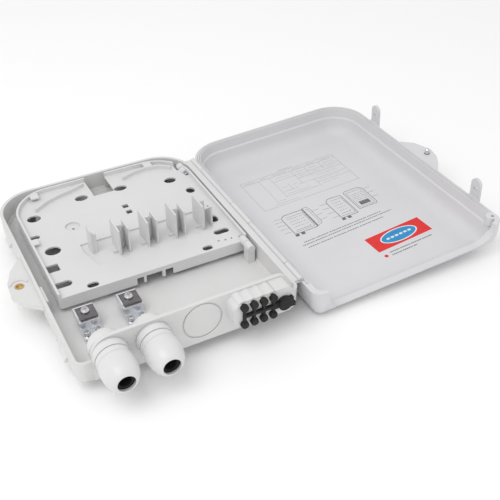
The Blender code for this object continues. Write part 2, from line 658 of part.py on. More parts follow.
def deck_hole(x, y, size_x, size_y, corners):
    """Tool for one opening in the deck: round ended, straight, or a few-sided lozenge."""
    if corners == 0:
        return box(x - size_x / 2, x + size_x / 2, y - size_y / 2, y + size_y / 2, 12.0, 18.0)
    if corners == 12:
        r = min(size_x, size_y) / 2
        dx, dy = size_x / 2 - r, size_y / 2 - r
        points = arc(x + dx, y + dy, r, 0, 90, 3) + arc(x - dx, y + dy, r, 90, 180, 3)
        points += arc(x - dx, y - dy, r, 180, 270, 3) + arc(x + dx, y - dy, r, 270, 360, 3)
        unique = [p for p, q in zip(points, points[1:] + points[:1]) if math.dist(p, q) > 0.01]
        return prism(unique, 12.0, 18.0)
    start = 45 if corners == 4 else 30
    points = arc(x, y, size_x / 1.55, start, start + 360, corners, size_y / 1.55)[:-1]
    return prism(points, 12.0, 18.0)


def fin_group(x, first, last):
    """Two upright fins between adapter bays, joined by a web that faces the ports."""
    low = RECESS_FLOOR - 1.0
    parts = []
    if first:
        parts.append(box(x + 0.6, x + 1.9, 113.5, 124.0, low, FIN_TOP - 2.0))
        parts.append(box(x + 1.2, x + 5.0, 113.9, 115.2, low, FIN_TOP - 5.0))
    else:
        parts.append(box(x - 4.3, x - 3.0, 101.6, 121.5, low, FIN_TOP))
        parts.append(box(x - 3.6, x + 1.6, 110.4, 111.8, low, FIN_TOP - 0.6))
        parts.append(box(x - 8.0, x - 3.7, 106.4, 107.7, low, RECESS_FLOOR + 2.2))
    if last:
        parts.append(prism([(101.7, low), (119.0, low), (101.7, FIN_TOP - 3.0)], x - 3.6, x - 2.2, "X"))
    elif not first:
        parts.append(box(x + 3.4, x + 4.7, 102.0, 116.0, low, FIN_TOP))
        parts.append(box(x + 0.9, x + 4.0, 112.6, 113.9, low, FIN_TOP - 4.0))
    return parts


def make_tray():
    tray = prism(tray_outline(0.0), TRAY_UNDER, TRAY_TOP)
    cut(
        tray,
        prism(tray_outline(TRAY_WALL), TRAY_UNDER - 1, DECK_UNDER),
        prism(tray_outline(TRAY_WALL), DECK_TOP, TRAY_TOP + 1),
        box(TRAY_LEFT + TRAY_WALL, TRAY_RIGHT + 1, TRAY_FRONT - 1, TRAY_FRONT + 2.5, DECK_TOP, TRAY_TOP + 1),
    )
    recess = [(-124, 128), (-124, 116), (-119, 97.5), (-24, 99), (-20.5, 103), (-20.5, 128)]
    floor = [(-126, 130), (-126, 115), (-120.5, 95.5), (-23, 97), (-18.5, 102), (-18.5, 130)]
    add(tray, prism(floor, RECESS_FLOOR - 1.5, DECK_TOP - 0.3))
    cut(tray, prism(recess, RECESS_FLOOR, DECK_TOP + 1))
    parts = []
    for group in range(FIN_GROUPS):
        parts += fin_group(FIN_X0 + group * FIN_PITCH, group == 0, group == FIN_GROUPS - 1)
    gusset = [(104.0, RECESS_FLOOR - 0.8), (128.0, RECESS_FLOOR - 0.8), (104.0, 34.0)]
    parts.append(prism(gusset, -20.4 - 1.4, -20.4, "X"))
    # fibre guides along the back corners
    for path in (
        [(-142, 187), (-131, 194.5), (-118, 199.5), (-106, 202.5), (-95, 206.5)],
        [(-61, 199.5), (-50, 203.8), (-38, 205.5), (-26, 203.5), (-17, 197.0)],
    ):
        parts.append(prism(strip(path, 0.8), DECK_TOP - 0.6, TRAY_TOP - 0.2))
    for x0, x1, y0, y1 in ((-141, -134, 202.5, 210.5), (-38, -31, 205.0, 213.0), (-157.2, -152, 140, 147)):
        parts.append(box(x0, x1, y0, y1, TRAY_TOP - 1.4, TRAY_TOP - 0.1))
    parts.append(prism(arc(*SPLICE_WELL, 7.2, 0, 360, 18)[:-1], DECK_UNDER - 1.5, DECK_UNDER + 0.4))
    add(tray, *parts)
    # openings, the back notch, the notches in the front skirt and room for the rear post
    tools = [deck_hole(*hole) for hole in DECK_HOLES]
    tools.append(round_bar(SPLICE_WELL, 6.0, DECK_UNDER, 18.0, "Z", 18))
    tools.append(round_bar((-121.3, 153.0), 1.2, 12.0, 18.0, "Z", 10))
    tools.append(box(*TRAY_NOTCH, 188.0, 216.0, TRAY_UNDER - 1, TRAY_TOP + 1))
    for x0, x1 in SKIRT_NOTCHES:
        tools.append(box(x0, x1, TRAY_FRONT - 1, TRAY_FRONT + 2.4, TRAY_UNDER - 1, 12.6))
    tools.append(box(-13.0, 1.0, 192.2, 216.0, TRAY_UNDER - 1, TRAY_TOP + 1))
    cut(tray, *tools)
    knuckles = []
    for y0, y1 in TRAY_KNUCKLES:
        knuckles.append(round_bar((TRAY_HINGE_X, TRAY_HINGE_Z), KNUCKLE_R, y0, y1, "Y", 16))
    add(tray, *knuckles)
    bores = []
    for y0, y1 in ((68.0, 80.5), (181.0, 193.0)):
        bores.append(round_bar((TRAY_HINGE_X, TRAY_HINGE_Z), TRAY_PIN_R + 0.15, y0, y1, "Y", 12))
    bores.append(box(TRAY_HINGE_X - 0.9, TRAY_HINGE_X + 0.9, 68.0, 72.8, 10.0, TRAY_HINGE_Z))
    cut(tray, *bores)
    place(tray, "splice_tray", ABS_TRAY, False, (TRAY_HINGE_X, TRAY_FRONT, TRAY_HINGE_Z))
    for name, y0, y1 in (("front", 61.8, 79.5), ("rear", 182.0, 197.2)):
        pin = round_bar((TRAY_HINGE_X, TRAY_HINGE_Z), TRAY_PIN_R, y0, y1, "Y", 12)
        place(pin, f"tray_pin_{name}", SCREW)


make_base()
make_hinge_pin()
make_cover()
make_cover_trim()
make_lock()
for number, gland_x in enumerate(GLAND_XS, 1):
    make_gland(number, gland_x)
make_port_seal()
for number, clamp_x in enumerate(CLAMP_XS, 1):
    make_clamp(number, clamp_x)
make_tray()
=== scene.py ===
"""Looks of the fibre termination box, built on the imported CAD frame.

Pieces are modelled in the CAD's design frame, in millimetres, and moved into the part frame
by TO_PART.  Cover pieces are modelled shut and swung open about the hinge by SWING.
"""
import math

import bmesh
import bpy
from mathutils import Matrix, Vector


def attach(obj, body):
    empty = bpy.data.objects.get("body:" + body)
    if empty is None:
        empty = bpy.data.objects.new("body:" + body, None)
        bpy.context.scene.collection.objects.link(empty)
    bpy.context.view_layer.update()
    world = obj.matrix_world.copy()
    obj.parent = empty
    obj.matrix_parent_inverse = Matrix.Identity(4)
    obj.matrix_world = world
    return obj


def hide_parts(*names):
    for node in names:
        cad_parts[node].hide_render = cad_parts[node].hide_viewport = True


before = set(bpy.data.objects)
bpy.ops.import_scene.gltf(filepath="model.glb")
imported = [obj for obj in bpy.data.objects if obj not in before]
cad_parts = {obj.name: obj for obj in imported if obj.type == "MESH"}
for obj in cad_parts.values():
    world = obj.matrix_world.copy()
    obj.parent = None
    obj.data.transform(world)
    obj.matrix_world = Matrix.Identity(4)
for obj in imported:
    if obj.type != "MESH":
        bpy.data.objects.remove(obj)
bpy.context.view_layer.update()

MM = 0.001
FINE = 3

# Base, in millimetres
WIDTH = 170.0
LENGTH = 220.0
RIM_Z = 19.0
WALL = 2.5
FLOOR = 2.6
BACK_RADIUS = 32.0
FRONT_RADIUS = 7.0
FOOT = 10.0
PORT_WALL = 3.0
HUMP_LEFT_Z = 36.5
HUMP_RIGHT_Z = 37.8

# Cover and its hinge
COVER_FRONT = -12.1
COVER_RIM_Z = 19.3
COVER_TOP_Z = 46.8
COVER_FLOOR_Z = 44.4
HINGE_X = 5.6
HINGE_Z = 17.9
BARREL_R = 2.2
COVER_HINGE_SIDE = 5.4
HINGE_WALL_EXTRA = 0.9
RIM_GROOVE_INSET = 2.1
RIM_GROOVE_SHIFT = 1.15
LEDGE_SIDE = 3.0
PIN_R = 1.2
OPEN_DEG = 177.15
HINGE_START = 9.0
HINGE_END = 199.0
BASE_KNUCKLES = ((9.0, 30.0), (88.4, 119.6), (178.0, 199.0))
COVER_KNUCKLES = ((30.4, 88.0), (120.0, 177.6))

# Lock ear
LOCK_X = -179.5
LOCK_Y = 100.0
EAR_LOW = 13.0
EAR_HIGH = 17.0
COVER_EAR_HIGH = 22.4
INSERT_R = 3.5
INSERT_BORE_R = 2.4
LOCK_SHANK_R = 2.0
LOCK_HEAD_R = 4.3
LOCK_HEAD_Z = 22.8

# Snap tabs, strap lugs and supports
LATCH_YS = (171.0, 28.0)
TAB_HALF = 5.2
TAB_OUTER_X = -174.8
LUG_XS = (-135.0, -35.0)
LUG_YS = (52.0, 168.0)
LUG_HALF_X = 15.0
LUG_HALF_Y = 14.0
TRAY_SUPPORTS = ((-140, 100), (-60, 87), (-140, 186), (-42, 190))
BACK_HOLES = ((-152, 92), (-20, 92), (-126, 200), (-44, 174))
BACK_HOLE_R = 2.4
KNOCKOUT = (-78.6, 21.2)
KNOCKOUT_R = 14.0
KNOCKOUT_GROOVE = 1.2

# Cable glands
GLAND_XS = (-146.3, -115.1)
GLAND_Z = 22.6
GLAND_HOLE_R = 11.3
GLAND_TUBE_R = 11.0
GLAND_BORE_R = 8.6
GLAND_FLANGE_R = 12.7
WASHER_R = 12.4
LOCKNUT_R = 12.7
DOME_NECK_R = 12.2
DOME_R = 12.8
DOME_MOUTH_R = 6.3
DOME_TIP_Y = -32.2
SEAL_BORE_R = 4.4

# Drop-cable ports
PORT_PITCH = 7.5
PORT_X0 = -53.0
PORT_COLUMNS = 4
PORT_ROWS_Z = (17.5, 32.5)
PORT_R = 2.4
BLOCK_FRONT = -12.0
DISC_X = -21.5
DISC_Z = 24.6
DISC_R = 4.7
FLUTE_R = 4.2
PLUG_R = 2.9
SEAL_DISC_R = 5.4

# Splice tray
TRAY_LEFT = -158.5
TRAY_RIGHT = -4.8
TRAY_FRONT = 73.0
TRAY_BACK = 214.3
TRAY_RADIUS = 34.0
TRAY_WALL = 1.8
TRAY_UNDER = 6.7
DECK_UNDER = 15.0
DECK_TOP = 16.5
TRAY_TOP = 20.0
RECESS_FLOOR = 15.2
TRAY_HINGE_X = -8.0
TRAY_HINGE_Z = 16.0
KNUCKLE_R = 3.3
TRAY_PIN_R = 1.5
TRAY_POSTS = ((60.5, 68.4), (192.6, 198.6))
TRAY_KNUCKLES = ((68.8, 76.5), (185.5, 191.9))
TRAY_NOTCH = (-91.5, -73.5)
SKIRT_NOTCHES = ((-98.5, -93.0), (-91.0, -78.0), (-75.5, -69.0))
SPLICE_WELL = (-121.3, 154.5)
FIN_PITCH = 23.3
FIN_X0 = -119.2
FIN_GROUPS = 5
FIN_TOP = 38.0

# Camera, lights and floor
LENS = 58.4
SENSOR = 36.0
CAMERA_PLACE = (-0.15785, -0.48867, 0.4115)
CAMERA_TILT = 52.22
CAMERA_TURN = -27.98
SKY = 0.86
KEY_PLACE = (-0.55, -0.35, 1.1)
KEY_AIM = (0.06, 0.0, 0.0)
KEY_SIZE = 0.9
KEY_WATTS = 5.5
FLOOR_HALF = 3.0
FLOOR_DROP = 0.0002
FLOOR_SHADE = 0.95

# Cable clamps
CLAMP_XS = (-145.0, -112.0)
CLAMP_WIDTH = 15.0
SHEET = 1.2
FOOT_UNDER = 3.8
STEP_UNDER = 10.8
FOOT_SCREW_Y = 41.2
FOOT_SCREW_SIDE = 4.4
STRENGTH_SCREW_Y = 55.8

# Design frame to part frame, and the swing that opens the cover
HINGE_POINT = Vector((HINGE_X, 0.0, HINGE_Z))
TO_PART = Matrix.Diagonal((MM, MM, MM, 1.0)) @ Matrix.Translation((WIDTH / 2, -LENGTH / 2, FOOT))
SWING = (
    Matrix.Translation(HINGE_POINT)
    @ Matrix.Rotation(math.radians(OPEN_DEG), 4, "Y")
    @ Matrix.Translation(-HINGE_POINT)
)


# ---------------------------------------------------------------- outlines

def arc(cx, cy, r, start, end, steps, ry=None):
    """Points on an arc, angles in degrees, both ends included, FINE times the steps asked for."""
    ry = r if ry is None else ry
    steps *= FINE
    points = []
    for i in range(steps + 1):
        a = math.radians(start + (end - start) * i / steps)
        points.append((cx + r * math.cos(a), cy + ry * math.sin(a)))
    return points


def rounded(x0, x1, y0, y1, front_r, back_r, inset=0.0, steps=7):
    """Anticlockwise rounded rectangle with its own radius at the front and at the back."""
    x0, x1, y0, y1 = x0 + inset, x1 - inset, y0 + inset, y1 - inset
    f = max(front_r - inset, 1.0)
    b = max(back_r - inset, 4.0)
    points = arc(x0 + f, y0 + f, f, 180, 270, 4)
    points += arc(x1 - f, y0 + f, f, 270, 360, 4)
    points += arc(x1 - b, y1 - b, b, 0, 90, steps)
    points += arc(x0 + b, y1 - b, b, 90, 180, steps)
    return points


def base_outline(inset):
    return rounded(-WIDTH, 0.0, 0.0, LENGTH, FRONT_RADIUS, BACK_RADIUS, inset)


def cover_outline(inset, hinge_side=COVER_HINGE_SIDE):
    return rounded(-WIDTH, hinge_side, COVER_FRONT, LENGTH, FRONT_RADIUS + 2.0, BACK_RADIUS, inset)


def tray_outline(inset):
    return rounded(TRAY_LEFT, TRAY_RIGHT, TRAY_FRONT, TRAY_BACK, 3.0, TRAY_RADIUS, inset)


def strip(points, half_width):
    """Closed outline of a strip of even width along an open polyline."""
    left, right = [], []
    for i, p in enumerate(points):
        a = Vector(points[max(i - 1, 0)])
        b = Vector(points[min(i + 1, len(points) - 1)])
        d = (b - a).normalized()
        n = Vector((-d.y, d.x)) * half_width
        left.append((p[0] + n.x, p[1] + n.y))
        right.append((p[0] - n.x, p[1] - n.y))
    return left + right[::-1]


# ---------------------------------------------------------------- solids

def new_object(name, bm):
    bmesh.ops.recalc_face_normals(bm, faces=bm.faces[:])
    mesh = bpy.data.meshes.new(name)
    bm.to_mesh(mesh)
    bm.free()
    obj = bpy.data.objects.new(name, mesh)
    bpy.context.scene.collection.objects.link(obj)
    return obj


def stack(name, rings):
    """Closed solid through a list of rings of equal length, capped at both ends."""
    bm = bmesh.new()
    layers = [[bm.verts.new(p) for p in ring] for ring in rings]
    for low, high in zip(layers, layers[1:]):
        count = len(low)
        for i in range(count):
            j = (i + 1) % count
            bm.faces.new((low[i], low[j], high[j], high[i]))
    bm.faces.new(layers[0][::-1])
    bm.faces.new(layers[-1])
    return new_object(name, bm)


def prism(points, low, high, axis="Z", name="tool"):
    """Outline extruded along an axis.  Outlines are (x, y), (x, z) or (y, z)."""
    def at(p, h):
        if axis == "Z":
            return (p[0], p[1], h)
        if axis == "Y":
            return (p[0], h, p[1])
        return (h, p[0], p[1])
    return stack(name, [[at(p, low) for p in points], [at(p, high) for p in points]])


def box(x0, x1, y0, y1, z0, z1, name="tool"):
    return prism([(x0, y0), (x1, y0), (x1, y1), (x0, y1)], z0, z1, "Z", name)


def round_bar(centre, r, low, high, axis="Z", sides=16, name="tool"):
    """Cylinder.  centre is the pair of coordinates across the axis."""
    return prism(arc(centre[0], centre[1], r, 0, 360, sides)[:-1], low, high, axis, name)


def lathe(name, profile, centre, axis="Y", sides=32):
    """Closed profile of (radius, along) turned about an axis, with an open bore."""
    sides *= FINE
    bm = bmesh.new()
    rows = []
    for i in range(sides):
        a = 2 * math.pi * i / sides
        row = []
        for r, h in profile:
            u, v = r * math.cos(a), r * math.sin(a)
            if axis == "Y":
                row.append(bm.verts.new((centre[0] + u, h, centre[1] + v)))
            else:
                row.append(bm.verts.new((centre[0] + u, centre[1] + v, h)))
        rows.append(row)
    count = len(profile)
    for i in range(sides):
        a, b = rows[i], rows[(i + 1) % sides]
        for k in range(count):
            m = (k + 1) % count
            bm.faces.new((a[k], a[m], b[m], b[k]))
    return new_object(name, bm)


def rings_to_solid(name, profile, centre, axis, sides):
    """Solid of revolution without a bore, from (radius, along) pairs with radius above 0."""
    sides *= FINE
    rings = []
    for r, h in profile:
        ring = []
        for i in range(sides):
            a = 2 * math.pi * i / sides
            u, v = r * math.cos(a), r * math.sin(a)
            if axis == "Y":
                ring.append((centre[0] + u, h, centre[1] + v))
            else:
                ring.append((centre[0] + u, centre[1] + v, h))
        rings.append(ring)
    return stack(name, rings)


def combine(target, tools, operation):
    """Boolean each tool into the target, then remove the tools."""
    for tool in tools:
        mod = target.modifiers.new("combine", "BOOLEAN")
        mod.operation = operation
        mod.solver = "EXACT"
        mod.object = tool
    graph = bpy.context.evaluated_depsgraph_get()
    mesh = bpy.data.meshes.new_from_object(target.evaluated_get(graph))
    target.modifiers.clear()
    target.data = mesh
    for tool in tools:
        bpy.data.objects.remove(tool, do_unlink=True)
    bm = bmesh.new()
    bm.from_mesh(mesh)
    bmesh.ops.remove_doubles(bm, verts=bm.verts[:], dist=0.004)
    bmesh.ops.dissolve_degenerate(bm, edges=bm.edges[:], dist=0.004)
    bm.to_mesh(mesh)
    bm.free()
    return target


def add(target, *tools):
    return combine(target, tools, "UNION")


def cut(target, *tools):
    return combine(target, tools, "DIFFERENCE")


# ---------------------------------------------------------------- camera, light and floor

def make_camera():
    data = bpy.data.cameras.new("camera")
    data.lens = LENS
    data.sensor_width = SENSOR
    camera = bpy.data.objects.new("camera", data)
    bpy.context.scene.collection.objects.link(camera)
    camera.location = CAMERA_PLACE
    camera.rotation_euler = (math.radians(CAMERA_TILT), 0.0, math.radians(CAMERA_TURN))
    bpy.context.scene.camera = camera


def soft_light(name, location, target, size, watts):
    data = bpy.data.lights.new(name, "AREA")
    data.shape = "DISK"
    data.size = size
    data.energy = watts
    lamp = bpy.data.objects.new(name, data)
    bpy.context.scene.collection.objects.link(lamp)
    lamp.location = location
    aim = Vector(target) - Vector(location)
    lamp.rotation_euler = aim.to_track_quat("-Z", "Y").to_euler()


def make_studio():
    world = bpy.data.worlds.new("studio")
    bpy.context.scene.world = world
    world.use_nodes = True
    world.node_tree.nodes["Background"].inputs["Color"].default_value = (1.0, 1.0, 1.0, 1.0)
    world.node_tree.nodes["Background"].inputs["Strength"].default_value = SKY
    soft_light("key", KEY_PLACE, KEY_AIM, KEY_SIZE, KEY_WATTS)
    bpy.context.scene.view_settings.view_transform = "Standard"
    bm = bmesh.new()
    corners = ((-1, -1), (1, -1), (1, 1), (-1, 1))
    bm.faces.new([bm.verts.new((FLOOR_HALF * x, FLOOR_HALF * y, 0.0)) for x, y in corners])
    mesh = bpy.data.meshes.new("floor")
    bm.to_mesh(mesh)
    bm.free()
    floor = bpy.data.objects.new("floor", mesh)
    bpy.context.scene.collection.objects.link(floor)
    floor.location.z = -FLOOR_DROP
    mat = bpy.data.materials.new("floor")
    mat.use_nodes = True
    shader = mat.node_tree.nodes["Principled BSDF"]
    shader.inputs["Base Color"].default_value = (FLOOR_SHADE, FLOOR_SHADE, FLOOR_SHADE, 1.0)
    shader.inputs["Roughness"].default_value = 0.9
    floor.data.materials.append(mat)


# ---------------------------------------------------------------- materials

class Look:
    """Node tree of one procedural material."""

    def __init__(self, name, roughness, metallic=0.0, **sockets):
        self.mat = bpy.data.materials.new(name)
        self.mat.use_nodes = True
        self.tree = self.mat.node_tree
        self.shader = self.tree.nodes["Principled BSDF"]
        self.shader.inputs["Roughness"].default_value = roughness
        self.shader.inputs["Metallic"].default_value = metallic
        for socket, value in sockets.items():
            self.shader.inputs[socket.replace("_", " ")].default_value = value
        self.coords = self.tree.nodes.new("ShaderNodeTexCoord")
        self.normal = None

    def link(self, a, b):
        self.tree.links.new(a, b)

    def noise(self, scale, detail=4.0, stretch=(1.0, 1.0, 1.0), rough=0.55):
        """Noise with features about 1/scale metres across, stretched along an axis if asked."""
        mapping = self.tree.nodes.new("ShaderNodeMapping")
        mapping.inputs["Scale"].default_value = stretch
        self.link(self.coords.outputs["Object"], mapping.inputs["Vector"])
        node = self.tree.nodes.new("ShaderNodeTexNoise")
        node.inputs["Scale"].default_value = scale
        node.inputs["Detail"].default_value = detail
        node.inputs["Roughness"].default_value = rough
        self.link(mapping.outputs["Vector"], node.inputs["Vector"])
        return node.outputs["Fac"]

    def ramp(self, fac, stops):
        node = self.tree.nodes.new("ShaderNodeValToRGB")
        node.color_ramp.elements[0].position = stops[0][0]
        node.color_ramp.elements[1].position = stops[-1][0]
        for place, colour in stops[1:-1]:
            node.color_ramp.elements.new(place)
        for element, (place, colour) in zip(node.color_ramp.elements, stops):
            element.position = place
            element.color = (*colour, 1.0)
        self.link(fac, node.inputs["Fac"])
        return node.outputs["Color"]

    def span(self, fac, low, high):
        node = self.tree.nodes.new("ShaderNodeMapRange")
        node.inputs["To Min"].default_value = low
        node.inputs["To Max"].default_value = high
        self.link(fac, node.inputs["Value"])
        return node.outputs["Result"]

    def soften(self, radius):
        """Light catches edges as if they were rounded to this radius."""
        node = self.tree.nodes.new("ShaderNodeBevel")
        node.samples = 6
        node.inputs["Radius"].default_value = radius
        self.normal = node.outputs["Normal"]
        self.link(self.normal, self.shader.inputs["Normal"])

    def bump(self, height, distance, strength=1.0):
        node = self.tree.nodes.new("ShaderNodeBump")
        node.inputs["Distance"].default_value = distance
        node.inputs["Strength"].default_value = strength
        self.link(height, node.inputs["Height"])
        if self.normal is not None:
            self.link(self.normal, node.inputs["Normal"])
        self.normal = node.outputs["Normal"]
        self.link(self.normal, self.shader.inputs["Normal"])

    def colour(self, socket):
        self.link(socket, self.shader.inputs["Base Color"])

    def roughness(self, socket):
        self.link(socket, self.shader.inputs["Roughness"])


def moulded(name, light, dark, rough_low, rough_high, grain=0.00003, edge=0.0004):
    """Injection-moulded plastic: faint flow streaks, spark-eroded grain and softened edges."""
    look = Look(name, rough_low, Specular_IOR_Level=0.45)
    cloud = look.noise(22.0, 3.0)
    flow = look.noise(60.0, 5.0, (1.0, 0.25, 1.0))
    base = look.ramp(cloud, [(0.3, dark), (0.7, light)])
    speck = look.ramp(look.noise(1500.0, 2.0), [(0.25, (0.955, 0.95, 0.94)), (0.42, (1.0, 1.0, 1.0))])
    node = look.tree.nodes.new("ShaderNodeMix")
    node.data_type = "RGBA"
    node.blend_type = "MULTIPLY"
    node.inputs[0].default_value = 1.0
    look.link(base, node.inputs[6])
    look.link(speck, node.inputs[7])
    look.colour(node.outputs[2])
    look.roughness(look.span(flow, rough_low, rough_high))
    look.soften(edge)
    look.bump(look.noise(2600.0, 2.0), grain)
    return look.mat


def rubber():
    look = Look("rubber", 0.6, Specular_IOR_Level=0.3)
    shades = [(0.3, (0.009, 0.009, 0.010)), (0.75, (0.022, 0.022, 0.024))]
    look.colour(look.ramp(look.noise(300.0, 5.0), shades))
    look.roughness(look.span(look.noise(120.0, 3.0), 0.5, 0.8))
    look.soften(0.0004)
    look.bump(look.noise(2200.0, 3.0), 0.00005)
    return look.mat


def metal(name, light, dark, rough_low, rough_high, stretch=(1.0, 1.0, 1.0), scale=700.0):
    look = Look(name, rough_low, 1.0)
    look.colour(look.ramp(look.noise(scale, 5.0, stretch), [(0.25, dark), (0.75, light)]))
    look.roughness(look.span(look.noise(scale * 0.4, 4.0, stretch), rough_low, rough_high))
    look.soften(0.00015)
    look.bump(look.noise(scale * 2.0, 3.0, stretch), 0.00002)
    return look.mat


def printed(name, ink, worn, scale=900.0):
    """Screen-printed ink with a slightly broken edge and sheen."""
    look = Look(name, 0.45)
    look.colour(look.ramp(look.noise(scale, 4.0), [(0.3, worn), (0.55, ink)]))
    look.roughness(look.span(look.noise(300.0, 3.0), 0.35, 0.55))
    return look.mat


WHITE = moulded("abs_white", (0.68, 0.675, 0.675), (0.65, 0.645, 0.64), 0.36, 0.5)
COVER_WHITE = moulded("abs_cover", (0.655, 0.65, 0.67), (0.63, 0.625, 0.64), 0.4, 0.52)
TRAY_WHITE = moulded("abs_tray", (0.68, 0.675, 0.68), (0.65, 0.645, 0.645), 0.38, 0.52, edge=0.0003)
NYLON = moulded("nylon", (0.69, 0.69, 0.69), (0.665, 0.66, 0.66), 0.26, 0.4, edge=0.0005)
RUBBER = rubber()
GASKET = moulded("gasket_foam", (0.62, 0.615, 0.62), (0.56, 0.555, 0.56), 0.7, 0.9, 0.0001)
ZINC = metal("zinc_plate", (0.88, 0.89, 0.91), (0.66, 0.68, 0.71), 0.2, 0.4, (1.0, 0.2, 1.0))
STEEL = metal("screw_steel", (0.76, 0.76, 0.78), (0.58, 0.58, 0.6), 0.16, 0.34)
# Pressure plate steel is coloured far darker than the bracket's zinc: the dark colour is a painted reflection
# of dark surroundings.
PLATE_STEEL_PAINTED_REFLECTION = metal("plate_steel_painted_reflection", (0.26, 0.25, 0.25), (0.13, 0.125, 0.125), 0.22, 0.4, (0.3, 1.0, 1.0))
BRASS = metal("brass", (0.78, 0.56, 0.25), (0.55, 0.36, 0.13), 0.2, 0.4)
INK = printed("print_ink", (0.10, 0.10, 0.115), (0.26, 0.26, 0.28))
FAINT_INK = printed("faint_ink", (0.30, 0.30, 0.33), (0.46, 0.46, 0.49))
STICKER_RED = printed("sticker_red", (0.72, 0.012, 0.010), (0.62, 0.010, 0.010), 260.0)
STICKER_WHITE = printed("sticker_white", (0.72, 0.78, 0.80), (0.66, 0.72, 0.75), 260.0)
STICKER_BLUE = printed("sticker_blue", (0.008, 0.26, 0.55), (0.007, 0.21, 0.48), 260.0)


# ---------------------------------------------------------------- placing pieces

def place(obj, name, look, on_cover=False, body="base", stands_for=None, sharp=35.0):
    """Name a piece, shade it smooth, move it into the part frame and let it ride on its body."""
    obj.name = name + "_look"
    mesh = obj.data
    mesh.materials.clear()
    mesh.materials.append(look)
    mesh.transform(TO_PART @ (SWING if on_cover else Matrix.Identity(4)))
    mesh.polygons.foreach_set("use_smooth", [True] * len(mesh.polygons))
    mesh.set_sharp_from_angle(angle=math.radians(sharp))
    weigh = obj.modifiers.new("weigh", "WEIGHTED_NORMAL")
    weigh.keep_sharp = True
    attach(obj, body)
    nodes = (name,) if stands_for is None else stands_for
    if nodes:
        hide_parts(*nodes)
    return obj


# ---------------------------------------------------------------- base

def base_body():
    """Open shell of the base with its side walls, before anything is added to it."""
    outside = ((0.0, 3.6), (0.9, 1.6), (2.6, 0.5), (RIM_Z, 0.0))
    inside = ((RIM_Z, WALL), (5.0, WALL + 0.5), (FLOOR, WALL + 2.4))
    rings = []
    for z, inset in outside + inside:
        rings.append([(x, y, z) for x, y in base_outline(inset)])
    return stack("base", rings)


def hump_profile(grow=0.0, low=1.5):
    """Outline of the raised part of the port wall, in X and Z."""
    points = [(-158.5 - grow, low)]
    points += arc(-144.0, 22.5, 14.5 + grow, 180, 90, 6, HUMP_LEFT_Z - 22.5 + grow)
    points += arc(-20.0, 23.5, 12.0 + grow, 90, 0, 6, HUMP_RIGHT_Z - 23.5 + grow)
    points.append((-8.0 + grow, low))
    return points


def port_block():
    """Block in front of the port wall that carries the two rows of drop ports."""
    profile = arc(-54.5, 21.0, 6.0, 180, 270, 3)
    profile += arc(-18.5, 18.0, 3.5, 270, 360, 3)
    profile += arc(-18.5, 33.0, 3.5, 0, 90, 3)
    profile += [(-28.0, 36.5), (-28.0, 34.5), (-54.5, 34.5)]
    profile += arc(-54.5, 28.5, 6.0, 90, 180, 3)[1:]
    return prism(profile, BLOCK_FRONT, 1.0, "Y")


def port_centres():
    for column in range(PORT_COLUMNS):
        for z in PORT_ROWS_Z:
            yield PORT_X0 + column * PORT_PITCH, z


def strap_lug(x, y):
    """Foot on the back, with a slot along X for a pole strap."""
    outline = rounded(x - LUG_HALF_X, x + LUG_HALF_X, y - LUG_HALF_Y, y + LUG_HALF_Y, 4, 4, 0, 3)
    lug = prism(outline, -FOOT, 0.6)
    return cut(lug, box(x - 20, x + 20, y - 10.5, y + 10.5, -5.8, -2.6))


